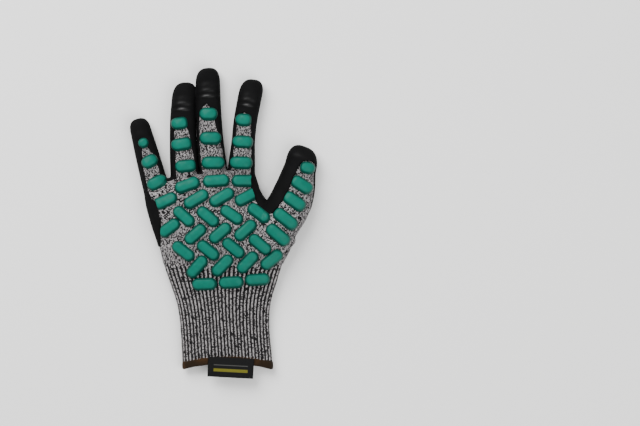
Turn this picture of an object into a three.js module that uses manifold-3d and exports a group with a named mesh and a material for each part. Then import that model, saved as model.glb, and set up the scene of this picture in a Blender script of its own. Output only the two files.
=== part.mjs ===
// Anti-vibration work glove for the left hand, lying palm down with its back up.
// Millimetres. X runs from the little finger to the thumb, Y from the cuff's mouth to the
// fingertips, and Z up from the surface that the glove lies on.
import * as THREE from "three";
import { mergeVertices } from "three/addons/utils/BufferGeometryUtils.js";
import Module from "manifold-3d";

const wasm = await Module();
wasm.setup();

// Driving dimensions of the knitted liner, measured outside the knit.
const CUFF_LENGTH = 90;
const CUFF_WIDTH = 80;
const CUFF_HEIGHT = 13;
const HAND_LENGTH = 72;
const HAND_WIDTH = 109;
const HAND_HEIGHT = 25;
const THUMB_LENGTH = 82;
const THUMB_WIDTH = 33;
const THUMB_HEIGHT = 24;
const INDEX_LENGTH = 93.5;
const INDEX_WIDTH = 18.2;
const MIDDLE_LENGTH = 102.9;
const MIDDLE_WIDTH = 19.4;
const RING_LENGTH = 94.1;
const RING_WIDTH = 20;
const LITTLE_LENGTH = 75.7;
const LITTLE_WIDTH = 17.7;
const FINGER_HEIGHT = 20;

// Walls, trim and clearances.
const KNIT_WALL = 1.5;
const COATING_THICKNESS = 0.8;
const CLEARANCE = 0.3;
const RIB_PITCH = 3;
const RIB_DEPTH = 0.7;
const WRIST_RIBS = 0.2;
const HEM_HEIGHT = 7;
const HEM_THICKNESS = 3.2;
const MOUTH_ARCH = 5;
const LABEL_WIDTH = 39;
const LABEL_LENGTH = 17;
const LABEL_THICKNESS = 0.9;
const PAD_LENGTH = 22;
const PAD_BREADTH = 9.8;
const PAD_HEIGHT = 4;

// The back's window in the coating starts this far above the floor.
const WINDOW_HEIGHT = 6;

// The coating lies on the floor, and the liner lies inside it.
const COATING_OFFSET = CLEARANCE + COATING_THICKNESS;
const LINER_FLOOR = COATING_OFFSET;

// A cross-section is a soft oval with a flat underside.
const BELLY_SHARE = 0.44;
const OVAL_POWER = 2.3;
const FLAT_DROP = 1.25;

// Points round each kind of loft.
const HAND_POINTS = { outside: 20, inside: 14 };
const FINGER_POINTS = { outside: 12, inside: 8 };
const CUFF_INNER_POINTS = 16;
const HEM_POINTS = 24;
const PAD_POINTS = 8;
const ARCH_POINTS = 12;
const SEAT_POINTS = 36;
const PERIMETER_STEPS = 64;
const WALK_FINENESS = 4;

// Vertices closer than this are one.
const MERGE_DISTANCE = 1e-4;

// Far outside the glove, for the blocks that cut it.
const REACH = 3 * (CUFF_LENGTH + HAND_LENGTH + MIDDLE_LENGTH);

// The fingers' sizes, with their lean in degrees towards the thumb.
const FINGERS = {
  thumb: { length: THUMB_LENGTH, width: THUMB_WIDTH, height: THUMB_HEIGHT, lean: 20.8 },
  index: { length: INDEX_LENGTH, width: INDEX_WIDTH, height: FINGER_HEIGHT, lean: 6.7 },
  middle: { length: MIDDLE_LENGTH, width: MIDDLE_WIDTH, height: FINGER_HEIGHT, lean: -4.2 },
  ring: { length: RING_LENGTH, width: RING_WIDTH, height: FINGER_HEIGHT, lean: -0.5 },
  little: { length: LITTLE_LENGTH, width: LITTLE_WIDTH, height: FINGER_HEIGHT, lean: -14.6 },
};

// Cuff sections: shares of the cuff's length, width, width and height.
const CUFF_ROWS = [
  { along: 0, left: -0.43, right: 0.513, height: 0.92 },
  { along: 0.66, left: -0.505, right: 0.505, height: 1.25 },
  { along: 0.83, left: -0.57, right: 0.56, height: 1.45 },
  { along: 1, left: -0.632, right: 0.622, height: 1.7 },
];

// Hand sections from the wrist to the knuckles: each runs from a left point to a right point,
// as shares of the hand's width and length, with a share of its height.
const HAND_ROWS = [
  { left: [-0.468, -0.02], right: [0.46, -0.02], height: 0.87 },
  { left: [-0.502, 0.21], right: [0.53, 0.19], height: 0.96 },
  { left: [-0.55, 0.43], right: [0.55, 0.33], height: 1.0 },
  { left: [-0.592, 0.65], right: [0.335, 0.78], height: 0.93 },
  { left: [-0.61, 0.79], right: [0.26, 0.98], height: 0.82 },
];
const KNUCKLE_ROUND = 0.18;
const KNUCKLE_ANGLES = [40, 72];

// Where each finger leaves the hand. Across is a share of the hand's width, along one of its
// length. A finger beside another sits at a share of the two fingers' mean width from it.
const FINGER_ROOTS = {
  thumb: { across: 0.367, along: 0.306 },
  middle: { across: -0.055, along: 0.875 },
  index: { beside: "middle", spacing: 1.09, along: 0.875 },
  ring: { beside: "middle", spacing: -1.296, along: 0.817 },
  little: { beside: "ring", spacing: -1.17, along: 0.699 },
};

// Finger sections: the share of the length along the finger, the sideways bend as a share of
// the length, and shares of the width and the height. The rounded tip follows the last row.
const FINGER_ROWS = {
  thumb: [
    { along: 0, bend: 0, width: 1.06, height: 0.95 },
    { along: 0.12, bend: 0.01, width: 1.14, height: 1 },
    { along: 0.36, bend: 0.06, width: 1.1, height: 0.95 },
    { along: 0.59, bend: 0.058, width: 0.96, height: 0.85 },
    { along: 0.78, bend: 0.032, width: 0.78, height: 0.75 },
  ],
  index: [
    { along: 0, bend: 0, width: 1.2, height: 0.85 },
    { along: 0.27, bend: -0.019, width: 1.115, height: 0.92 },
    { along: 0.41, bend: -0.026, width: 1.0, height: 0.88 },
    { along: 0.6, bend: -0.031, width: 0.99, height: 0.8 },
    { along: 0.85, bend: -0.016, width: 1.01, height: 0.72 },
  ],
  middle: [
    { along: 0, bend: 0, width: 1.175, height: 0.85 },
    { along: 0.25, bend: -0.019, width: 1.11, height: 0.92 },
    { along: 0.43, bend: -0.022, width: 1.046, height: 0.88 },
    { along: 0.66, bend: -0.018, width: 1.0, height: 0.78 },
    { along: 0.86, bend: -0.01, width: 0.98, height: 0.72 },
  ],
  ring: [
    { along: 0, bend: 0, width: 1.165, height: 0.85 },
    { along: 0.3, bend: -0.02, width: 1.1, height: 0.92 },
    { along: 0.455, bend: -0.026, width: 1.05, height: 0.87 },
    { along: 0.68, bend: -0.027, width: 0.995, height: 0.78 },
    { along: 0.855, bend: -0.019, width: 0.93, height: 0.72 },
  ],
  little: [
    { along: 0, bend: 0, width: 1.175, height: 0.85 },
    { along: 0.35, bend: 0, width: 1.09, height: 0.86 },
    { along: 0.63, bend: 0, width: 1.0, height: 0.76 },
    { along: 0.85, bend: 0, width: 0.89, height: 0.7 },
  ],
};
const TIP_ANGLES = [32, 60, 80];
const TIP_POWER = 2.5;

// The window in each finger's coating: shares of the finger's length, then of its width to the
// left and to the right of its middle line. The last row is the window's rounded end.
const FINGER_WINDOWS = {
  thumb: [
    { along: 0.2, left: -0.3, right: 0.9 },
    { along: 0.36, left: -0.24, right: 0.9 },
    { along: 0.475, left: -0.205, right: 0.9 },
    { along: 0.485, left: -0.2, right: 0.515 },
    { along: 0.6, left: -0.165, right: 0.455 },
    { along: 0.72, left: -0.12, right: 0.4 },
    { along: 0.83, left: -0.04, right: 0.375 },
    { along: 0.885, left: 0.08, right: 0.28 },
  ],
  index: [
    { along: 0.02, left: -0.46, right: 0.4 },
    { along: 0.33, left: -0.43, right: 0.43 },
    { along: 0.5, left: -0.37, right: 0.34 },
    { along: 0.64, left: -0.33, right: 0.23 },
    { along: 0.69, left: -0.2, right: 0.06 },
  ],
  middle: [
    { along: 0.02, left: -0.44, right: 0.5 },
    { along: 0.37, left: -0.47, right: 0.42 },
    { along: 0.58, left: -0.43, right: 0.22 },
    { along: 0.66, left: -0.34, right: 0.12 },
    { along: 0.705, left: -0.2, right: 0 },
  ],
  ring: [
    { along: 0.05, left: -0.38, right: 0.45 },
    { along: 0.32, left: -0.34, right: 0.41 },
    { along: 0.51, left: -0.36, right: 0.27 },
    { along: 0.6, left: -0.34, right: 0.17 },
    { along: 0.69, left: -0.2, right: 0 },
  ],
  little: [
    { along: 0.05, left: -0.42, right: 0.42 },
    { along: 0.34, left: -0.34, right: 0.37 },
    { along: 0.55, left: -0.27, right: 0.31 },
    { along: 0.64, left: -0.18, right: 0.2 },
    { along: 0.68, left: -0.06, right: 0.07 },
  ],
};

// The window over the back of the hand: shares of the hand's width and length.
const HAND_WINDOW = [
  [-0.5, -0.1],
  [0.75, -0.1],
  [0.75, 0.5],
  [0.6, 0.62],
  [0.42, 0.64],
  [0.33, 0.6],
  [0.3, 0.7],
  [0.245, 0.82],
  [0.212, 0.91],
  [0.21, 1.03],
  [0.035, 1.13],
  [-0.19, 1.05],
  [-0.425, 0.97],
  [-0.585, 0.9],
  [-0.565, 0.8],
  [-0.535, 0.7],
  [-0.505, 0.45],
  [-0.5, 0.2],
];

// The coating's lower edge on the palm, from the left to the right.
const PALM_EDGE = [
  [-1, 0.2],
  [-0.5, 0.2],
  [-0.2, 0.12],
  [0.2, 0.12],
  [0.5, 0.2],
  [1, 0.2],
];

// The cuts that part the hand from the fingers and from the thumb.
const KNUCKLE_CUT = { x: -0.436, y: 1.035, slope: 0.24 };
const THUMB_CUT = { x: 0.3, y: 0.7, slope: -0.49 };

// Pads on the back of the hand, in rows from the knuckles to the wrist. Across and along are
// shares of the hand's width and length, size is a share of the pad's length, and a lapped pad
// is cut off straight where the coating laps over it.
const HAND_PADS = {
  knuckle: [
    { across: -0.285, along: 0.935, size: 0.99, tilt: 20 },
    { across: -0.061, along: 0.986, size: 1.02, tilt: 4 },
    { across: 0.164, along: 0.988, size: 1.02, tilt: 0, lapped: true },
  ],
  back_a: [
    { across: -0.456, along: 0.751, size: 0.95, tilt: 25, lapped: true },
    { across: -0.215, along: 0.771, size: 1.04, tilt: 31 },
    { across: -0.016, along: 0.791, size: 1.03, tilt: 30 },
    { across: 0.183, along: 0.798, size: 1.03, tilt: 28, lapped: true },
  ],
  back_b: [
    { across: -0.31, along: 0.569, size: 0.96, tilt: -42 },
    { across: -0.123, along: 0.565, size: 0.98, tilt: -40 },
    { across: 0.061, along: 0.585, size: 0.98, tilt: -35 },
    { across: 0.271, along: 0.605, size: 0.98, tilt: -37 },
  ],
  back_c: [
    { across: -0.425, along: 0.431, size: 0.92, tilt: 36, lapped: true },
    { across: -0.221, along: 0.358, size: 0.97, tilt: 41 },
    { across: -0.029, along: 0.372, size: 0.99, tilt: 41 },
    { across: 0.168, along: 0.403, size: 1.0, tilt: 42 },
  ],
  back_d: [
    { across: -0.315, along: 0.158, size: 0.98, tilt: -38 },
    { across: -0.121, along: 0.168, size: 0.98, tilt: -39 },
    { across: 0.075, along: 0.196, size: 0.99, tilt: -40 },
    { across: 0.281, along: 0.239, size: 1.0, tilt: -40 },
  ],
  wrist_a: [
    { across: -0.208, along: -0.026, size: 1.0, tilt: 49 },
    { across: -0.011, along: -0.01, size: 1.0, tilt: 45 },
    { across: 0.184, along: 0.027, size: 1.0, tilt: 46 },
    { across: 0.372, along: 0.057, size: 0.98, tilt: 39 },
  ],
  wrist_b: [
    { across: -0.152, along: -0.23, size: 0.95, tilt: 2 },
    { across: 0.057, along: -0.21, size: 0.95, tilt: 3 },
    { across: 0.262, along: -0.177, size: 0.95, tilt: 4 },
  ],
};

// Pads along each finger, from its tip: along is a share of the finger's length, side a share
// of its width, size and breadth are shares of the pad's own, and tilt is from straight across.
const FINGER_PADS = {
  thumb: [
    { along: 0.818, side: 0.165, size: 0.57, breadth: 0.92, tilt: 9 },
    { along: 0.633, side: 0.11, size: 0.9, breadth: 0.98, tilt: -12, lapped: true },
    { along: 0.446, side: 0.06, size: 0.95, breadth: 1, tilt: -14, lapped: true },
    { along: 0.242, side: 0.077, size: 1.06, breadth: 1, tilt: -17, lapped: true },
    { along: 0.062, side: 0.121, size: 1.05, breadth: 1, tilt: -19 },
  ],
  index: [
    { along: 0.638, side: -0.11, size: 0.6, breadth: 0.97, tilt: 4 },
    { along: 0.44, side: -0.04, size: 0.75, breadth: 0.94, tilt: 3 },
    { along: 0.249, side: -0.045, size: 0.83, breadth: 0.96, tilt: 5 },
  ],
  middle: [
    { along: 0.633, side: -0.02, size: 0.68, breadth: 0.97, tilt: -4 },
    { along: 0.433, side: 0.006, size: 0.8, breadth: 0.98, tilt: -4 },
    { along: 0.23, side: 0.018, size: 0.86, breadth: 0.96, tilt: -4 },
  ],
  ring: [
    { along: 0.647, side: -0.16, size: 0.62, breadth: 0.92, tilt: 8 },
    { along: 0.458, side: -0.09, size: 0.76, breadth: 0.95, tilt: 9 },
    { along: 0.262, side: 0.036, size: 0.77, breadth: 0.95, tilt: 6 },
  ],
  little: [
    { along: 0.723, side: -0.07, size: 0.34, breadth: 0.9, tilt: 0 },
    { along: 0.492, side: 0, size: 0.64, breadth: 0.95, tilt: 15 },
    { along: 0.252, side: 0.085, size: 0.77, breadth: 0.96, tilt: 12 },
  ],
};

// A pad's profile from its foot, which starts under the knit, to its crown: the share of its
// half breadth and of its height at each ring.
const PAD_RINGS = [
  { reach: 1, rise: -0.25 },
  { reach: 0.66, rise: 0.8 },
  { reach: 0.28, rise: 1 },
];

// The hem's section: shares of its height and of its thickness.
const HEM_PROFILE = [
  [0, 0.3],
  [0, -0.3],
  [0.4, -0.5],
  [1, -0.4],
  [1, 0.4],
  [0.4, 0.5],
];

// The label over the hem: where it sits across the cuff, how it lies, and its rise above the
// liner at shares of its length from its sewn end to its free end.
const LABEL_ACROSS = 0.075;
const LABEL_TURN = -3;
const LABEL_OVERLAP = 5.2;
const LABEL_COLUMNS = 4;
const LABEL_ROWS = [
  { along: 0, sag: 0 },
  { along: 0.25, sag: 0 },
  { along: 0.5, sag: 0 },
  { along: 0.75, sag: -0.3 },
  { along: 1, sag: -1 },
];

const MATERIALS = {
  knit: new THREE.MeshStandardMaterial({ color: 0x797a77, roughness: 0.95, metalness: 0 }),
  coating: new THREE.MeshStandardMaterial({ color: 0x181818, roughness: 0.75, metalness: 0 }),
  pad: new THREE.MeshStandardMaterial({ color: 0x20806e, roughness: 0.6, metalness: 0 }),
  hem: new THREE.MeshStandardMaterial({ color: 0x2e2014, roughness: 0.9, metalness: 0 }),
  label: new THREE.MeshStandardMaterial({ color: 0x0d0d0d, roughness: 0.8, metalness: 0 }),
};

const radians = THREE.MathUtils.degToRad;

// A power of a sine or cosine that keeps its sign: it squares an oval off.
function signedPower(value, power) {
  return Math.sign(value) * Math.abs(value) ** (2 / power);
}

// A geometry becomes a solid once its shared vertices are merged.
function toSolid(geometry) {
  geometry.deleteAttribute("normal");
  geometry.deleteAttribute("uv");
  const merged = mergeVertices(geometry, MERGE_DISTANCE);
  return new wasm.Manifold(new wasm.Mesh({
    numProp: 3,
    vertProperties: new Float32Array(merged.attributes.position.array),
    triVerts: new Uint32Array(merged.index.array),
  }));
}

function toGeometry(solid) {
  const mesh = solid.getMesh();
  const geometry = new THREE.BufferGeometry();
  geometry.setAttribute("position", new THREE.BufferAttribute(mesh.vertProperties, 3));
  geometry.setIndex(new THREE.BufferAttribute(mesh.triVerts, 1));
  geometry.computeVertexNormals();
  return geometry;
}

// A closed solid through rings of points, each ring closed off by a fan at its middle.
function loft(rings) {
  const count = rings[0].length;
  const positions = [];
  const triangles = [];
  const push = (point) => positions.push(point.x, point.y, point.z);
  rings.forEach((ring) => ring.forEach(push));
  for (let row = 0; row + 1 < rings.length; row += 1) {
    for (let i = 0; i < count; i += 1) {
      const here = row * count + i;
      const next = row * count + ((i + 1) % count);
      triangles.push(here, here + count, next);
      triangles.push(next, here + count, next + count);
    }
  }
  const middles = [rings[0], rings[rings.length - 1]].map((ring) => {
    const middle = new THREE.Vector3();
    ring.forEach((point) => middle.addScaledVector(point, 1 / count));
    push(middle);
    return positions.length / 3 - 1;
  });
  const last = (rings.length - 1) * count;
  for (let i = 0; i < count; i += 1) {
    const next = (i + 1) % count;
    triangles.push(middles[0], i, next);
    triangles.push(middles[1], last + next, last + i);
  }
  const geometry = new THREE.BufferGeometry();
  geometry.setAttribute("position", new THREE.Float32BufferAttribute(positions, 3));
  geometry.setIndex(triangles);
  return toSolid(geometry);
}

// A tall prism over an outline in plan.
function prism(outline, low = -REACH) {
  const shape = new THREE.Shape(outline.map(([x, y]) => new THREE.Vector2(x, y)));
  const geometry = new THREE.ExtrudeGeometry(shape, { depth: REACH - low, bevelEnabled: false });
  geometry.translate(0, 0, low);
  return toSolid(geometry);
}

// An outline moved inwards by a distance, for outlines that run anticlockwise.
function shrink(outline, distance) {
  const count = outline.length;
  const edges = outline.map(([x, y], i) => {
    const [nextX, nextY] = outline[(i + 1) % count];
    const length = Math.hypot(nextX - x, nextY - y);
    const normal = [-(nextY - y) / length, (nextX - x) / length];
    return { normal, level: normal[0] * x + normal[1] * y + distance };
  });
  return edges.map((edge, i) => {
    const before = edges[(i + count - 1) % count];
    const cross = before.normal[0] * edge.normal[1] - before.normal[1] * edge.normal[0];
    if (Math.abs(cross) < 1e-3) {
      const [x, y] = outline[i];
      return [x + edge.normal[0] * distance, y + edge.normal[1] * distance];
    }
    return [
      (before.level * edge.normal[1] - edge.level * before.normal[1]) / cross,
      (edge.level * before.normal[0] - before.level * edge.normal[0]) / cross,
    ];
  });
}

// The soft oval, as points across and above the floor. Scale shrinks it towards a tip.
function crossSection({ halfWidth, height, offset, count, scale = 1 }) {
  const belly = BELLY_SHARE * height;
  const rise = height - belly + offset;
  const drop = belly + offset;
  const lift = (i) => signedPower(Math.sin((2 * Math.PI * i) / count), OVAL_POWER);
  const onFlat = (i) => FLAT_DROP * lift(i) <= -1;
  const steps = Array.from({ length: count }, (_, i) => i);
  return steps.filter((i) => !(onFlat(i - 1) && onFlat(i) && onFlat(i + 1))).map((i) => {
    const wide = signedPower(Math.cos((2 * Math.PI * i) / count), OVAL_POWER);
    const up = lift(i) > 0 ? rise * lift(i) : Math.max(FLAT_DROP * drop * lift(i), -drop);
    return {
      across: (halfWidth + offset) * scale * wide,
      up: LINER_FLOOR + belly + up * scale,
    };
  });
}

// A ring in space: a cross-section set up at a place in plan, across a direction in plan.
function ringAt(centre, across, section) {
  return section.map((point) => new THREE.Vector3(
    centre.x + across.x * point.across,
    centre.y + across.y * point.across,
    point.up,
  ));
}

const handPoint = ([x, y]) => new THREE.Vector2(x * HAND_WIDTH, CUFF_LENGTH + y * HAND_LENGTH);

// The hand, offset outwards or inwards from the liner's outside.
function handSolid(offset) {
  const rows = HAND_ROWS.map((row) => {
    const left = handPoint(row.left);
    const right = handPoint(row.right);
    return {
      centre: left.clone().add(right).multiplyScalar(0.5),
      across: right.clone().sub(left).normalize(),
      halfWidth: left.distanceTo(right) / 2,
      height: row.height * HAND_HEIGHT,
      scale: 1,
    };
  });
  const last = rows[rows.length - 1];
  const forward = new THREE.Vector2(-last.across.y, last.across.x);
  const roundLength = KNUCKLE_ROUND * HAND_LENGTH + offset;
  KNUCKLE_ANGLES.forEach((angle) => {
    const reach = roundLength * signedPower(Math.sin(radians(angle)), TIP_POWER);
    const centre = last.centre.clone().addScaledVector(forward, reach);
    const scale = signedPower(Math.cos(radians(angle)), TIP_POWER);
    rows.push({ ...last, centre, scale });
  });
  const count = offset < 0 ? HAND_POINTS.inside : HAND_POINTS.outside;
  return loft(rows.map((row) => {
    const section = crossSection({ ...row, offset, count });
    return ringAt(row.centre, row.across, section);
  }));
}

function fingerRoot(name) {
  const { across, beside, spacing, along } = FINGER_ROOTS[name];
  if (!beside) return handPoint([across, along]);
  const step = (spacing * (FINGERS[name].width + FINGERS[beside].width)) / 2;
  return new THREE.Vector2(fingerRoot(beside).x + step, handPoint([0, along]).y);
}

// A finger's own frame: its root, the way along it and the way across it.
function fingerFrame(name) {
  const lean = radians(FINGERS[name].lean);
  return {
    root: fingerRoot(name),
    along: new THREE.Vector2(Math.sin(lean), Math.cos(lean)),
    across: new THREE.Vector2(Math.cos(lean), -Math.sin(lean)),
  };
}

// A finger's row at a share of its length, between the rows of its table.
function fingerRow(name, along) {
  const rows = FINGER_ROWS[name];
  let index = rows.findIndex((row) => row.along >= along);
  index = index < 0 ? rows.length - 1 : Math.max(index, 1);
  const before = rows[index - 1];
  const after = rows[index];
  const share = Math.min((along - before.along) / (after.along - before.along), 1);
  const between = (key) => THREE.MathUtils.lerp(before[key], after[key], share);
  return { bend: between("bend"), width: between("width"), height: between("height") };
}

// A point in plan on a finger: a share of its length along it, millimetres beside its bend.
function fingerPoint(name, along, side) {
  const { root, along: forward, across } = fingerFrame(name);
  const { length } = FINGERS[name];
  const bend = fingerRow(name, along).bend * length + side;
  return root.clone().addScaledVector(forward, along * length).addScaledVector(across, bend);
}

// One finger with its rounded tip, offset outwards or inwards from the liner's outside.
function fingerSolid(name, offset) {
  const { length, width, height } = FINGERS[name];
  const { along: forward, across } = fingerFrame(name);
  const table = FINGER_ROWS[name];
  const count = offset < 0 ? FINGER_POINTS.inside : FINGER_POINTS.outside;
  const rings = table.map((row, i) => {
    const rootShift = i === 0 ? -offset : 0;
    const centre = fingerPoint(name, row.along, 0).addScaledVector(forward, rootShift);
    const section = crossSection({
      halfWidth: (row.width * width) / 2,
      height: row.height * height,
      offset,
      count,
    });
    return ringAt(centre, across, section);
  });
  const last = table[table.length - 1];
  const tipLength = (1 - last.along) * length + offset;
  TIP_ANGLES.forEach((angle) => {
    const reach = tipLength * signedPower(Math.sin(radians(angle)), TIP_POWER);
    const centre = fingerPoint(name, last.along, 0).addScaledVector(forward, reach);
    centre.addScaledVector(across, (-last.bend * length * reach) / tipLength);
    const section = crossSection({
      halfWidth: (last.width * width) / 2,
      height: last.height * height,
      offset,
      count,
      scale: signedPower(Math.cos(radians(angle)), TIP_POWER),
    });
    rings.push(ringAt(centre, across, section));
  });
  return loft(rings);
}

const FINGER_NAMES = Object.keys(FINGERS);
const FRONT_FINGERS = FINGER_NAMES.filter((name) => name !== "thumb");

// The whole glove above the cuff, at one offset, with its fingers kept for their own pieces.
function layer(offset) {
  const fingers = {};
  FINGER_NAMES.forEach((name) => {
    fingers[name] = fingerSolid(name, offset);
  });
  const whole = FINGER_NAMES.reduce((sum, name) => sum.add(fingers[name]), handSolid(offset));
  return { fingers, whole };
}

const knitOutside = layer(0);
const knitInside = layer(-KNIT_WALL);
const coatingInside = layer(CLEARANCE);
const coatingOutside = layer(COATING_OFFSET);
const besideFinger = layer(COATING_OFFSET + CLEARANCE).fingers;
const FRONT_NEIGHBOUR = { index: "middle", ring: "middle", little: "ring" };

// Blocks that part the glove at the wrist, the knuckles and the thumb, with clearances.
const cutStart = handPoint([KNUCKLE_CUT.x, KNUCKLE_CUT.y]);
const thumbCrotch = handPoint([THUMB_CUT.x, THUMB_CUT.y]);
const knuckleLine = (x) => cutStart.y + (x - cutStart.x) * KNUCKLE_CUT.slope;
const thumbLine = (x) => thumbCrotch.y + (x - thumbCrotch.x) * THUMB_CUT.slope;
const knuckleLeft = [-HAND_WIDTH, knuckleLine(-HAND_WIDTH)];
const knuckleRight = [thumbCrotch.x, knuckleLine(thumbCrotch.x)];
const thumbRight = [HAND_WIDTH, thumbLine(HAND_WIDTH)];
const handBlock = prism(shrink([
  [-HAND_WIDTH, CUFF_LENGTH],
  [thumbRight[0], CUFF_LENGTH],
  thumbRight,
  [thumbCrotch.x, thumbCrotch.y],
  knuckleRight,
  knuckleLeft,
], CLEARANCE / 2));
const fingerBlock = prism(shrink([
  knuckleLeft,
  knuckleRight,
  [knuckleRight[0], REACH],
  [-HAND_WIDTH, REACH],
], CLEARANCE / 2));
const thumbBlock = prism(shrink([
  [thumbCrotch.x, thumbCrotch.y],
  thumbRight,
  [thumbRight[0], REACH],
  [thumbCrotch.x, REACH],
], CLEARANCE / 2));

// The window's outlines in plan: one for the hand and one for each finger.
function windowOutlines() {
  const fingers = FINGER_NAMES.map((name) => {
    const rows = FINGER_WINDOWS[name];
    const edge = (side) => rows.map((row) => {
      const point = fingerPoint(name, row.along, row[side] * FINGERS[name].width);
      return [point.x, point.y];
    });
    return [...edge("right"), ...edge("left").reverse()];
  });
  const hand = HAND_WINDOW.map((share) => handPoint(share).toArray());
  return [hand, ...fingers];
}

function windowSolid(inset, low) {
  const parts = windowOutlines().map((outline) => prism(shrink(outline, inset), low));
  return parts.reduce((sum, part) => sum.add(part));
}

const backWindow = windowSolid(0, WINDOW_HEIGHT);
const lapLimit = windowSolid(CLEARANCE, -REACH);
const coatedZone = prism([
  ...PALM_EDGE.map((share) => handPoint(share).toArray()),
  [HAND_WIDTH, REACH],
  [-HAND_WIDTH, REACH],
]);

// The cuff's row at a height up the cuff, between the rows of its table.
function cuffRow(y) {
  const along = Math.min(Math.max(y / CUFF_LENGTH, 0), 1);
  const index = Math.max(CUFF_ROWS.findIndex((row) => row.along >= along), 1);
  const before = CUFF_ROWS[index - 1];
  const after = CUFF_ROWS[index];
  const share = (along - before.along) / (after.along - before.along);
  const between = (key) => THREE.MathUtils.lerp(before[key], after[key], share);
  const left = between("left") * CUFF_WIDTH;
  const right = between("right") * CUFF_WIDTH;
  return {
    middle: (left + right) / 2,
    halfWidth: (right - left) / 2,
    height: between("height") * CUFF_HEIGHT,
  };
}

// The cuff's section, walked round in equal steps, with the way out at each step.
function cuffWalk(y, offset, steps) {
  const row = cuffRow(y);
  const count = 4 * WALK_FINENESS * Math.ceil(steps / 4);
  const fine = crossSection({ ...row, offset, count });
  const lengths = [0];
  fine.forEach((point, i) => {
    const next = fine[(i + 1) % fine.length];
    lengths.push(lengths[i] + Math.hypot(next.across - point.across, next.up - point.up));
  });
  const total = lengths[fine.length];
  return Array.from({ length: steps }, (_, i) => {
    const wanted = (total * i) / steps;
    const index = Math.min(lengths.findIndex((length) => length > wanted) - 1, fine.length - 1);
    const point = fine[index];
    const next = fine[(index + 1) % fine.length];
    const share = (wanted - lengths[index]) / (lengths[index + 1] - lengths[index]);
    const step = Math.hypot(next.across - point.across, next.up - point.up);
    return {
      x: row.middle + THREE.MathUtils.lerp(point.across, next.across, share),
      z: THREE.MathUtils.lerp(point.up, next.up, share),
      outX: (next.up - point.up) / step,
      outZ: -(next.across - point.across) / step,
    };
  });
}

// The mouth's edge rises in an arch across the cuff and fades out up the cuff.
function mouthArch(x) {
  const { middle, halfWidth } = cuffRow(0);
  return MOUTH_ARCH * Math.max(1 - ((x - middle) / halfWidth) ** 2, 0);
}

function cuffPerimeter() {
  const steps = cuffWalk(0, 0, PERIMETER_STEPS);
  return steps.reduce((sum, step, i) => {
    const next = steps[(i + 1) % steps.length];
    return sum + Math.hypot(next.x - step.x, next.z - step.z);
  }, 0);
}

const RIB_COUNT = 2 * Math.round(cuffPerimeter() / RIB_PITCH / 2);

// The cuff's levels: its ribs fade out into the plain knit at the wrist.
const cuffLevels = CUFF_ROWS.map((row) => ({
  y: row.along * CUFF_LENGTH,
  ribs: row.along < 1 ? 1 : WRIST_RIBS,
}));

function cuffRing({ y, ribs }, offset, steps, shift = 0) {
  return cuffWalk(y, offset, steps).map((step, i) => {
    const crest = (ribs * RIB_DEPTH * (i % 2 === 0 ? 1 : -1)) / 2;
    const x = step.x + step.outX * crest;
    return new THREE.Vector3(x, y + shift, step.z + step.outZ * crest);
  });
}

// The cuff in plan: its lower edge follows the arch and rests on the hem.
function cuffOutline() {
  const { middle, halfWidth } = cuffRow(0);
  const edge = Array.from({ length: ARCH_POINTS + 1 }, (_, i) => {
    const x = middle + halfWidth * ((2 * i) / ARCH_POINTS - 1);
    return [x, HEM_HEIGHT + CLEARANCE + mouthArch(x)];
  });
  const top = CUFF_LENGTH - CLEARANCE / 2;
  const foot = HEM_HEIGHT + CLEARANCE;
  return [[-HAND_WIDTH, foot], ...edge, [HAND_WIDTH, foot], [HAND_WIDTH, top], [-HAND_WIDTH, top]];
}

// The cuff's wall: a ribbed outside, and a plain inside that runs past both ends.
function cuffSolid() {
  const outside = cuffLevels.map((level) => cuffRing(level, 0, 2 * RIB_COUNT));
  const inside = cuffLevels.map((level, i) => {
    const shift = i === 0 ? -KNIT_WALL : (i === cuffLevels.length - 1 ? KNIT_WALL : 0);
    return cuffRing({ ...level, ribs: 0 }, -KNIT_WALL, CUFF_INNER_POINTS, shift);
  });
  return loft(outside).subtract(loft(inside)).intersect(prism(cuffOutline()));
}

// The overlocked hem: its section carried round the mouth, butted to the cuff's lower end.
function hemSolid() {
  const walk = cuffWalk(0, -KNIT_WALL / 2, HEM_POINTS);
  const count = HEM_PROFILE.length;
  const positions = [];
  const triangles = [];
  walk.forEach((step, i) => {
    HEM_PROFILE.forEach(([rise, out], j) => {
      positions.push(
        step.x + step.outX * out * HEM_THICKNESS,
        rise * HEM_HEIGHT + mouthArch(step.x),
        step.z + step.outZ * out * HEM_THICKNESS,
      );
      const here = i * count;
      const next = ((i + 1) % HEM_POINTS) * count;
      const up = (j + 1) % count;
      triangles.push(here + j, next + j, here + up);
      triangles.push(next + j, next + up, here + up);
    });
  });
  const geometry = new THREE.BufferGeometry();
  geometry.setAttribute("position", new THREE.Float32BufferAttribute(positions, 3));
  geometry.setIndex(triangles);
  return toSolid(geometry);
}

// The liner's top over a point of the cuff.
function cuffTop(x, y) {
  const { middle, halfWidth, height } = cuffRow(y);
  const share = Math.min(Math.abs((x - middle) / halfWidth), 1);
  const rise = (1 - share ** OVAL_POWER) ** (1 / OVAL_POWER);
  return LINER_FLOOR + BELLY_SHARE * height + (1 - BELLY_SHARE) * height * rise;
}

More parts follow.
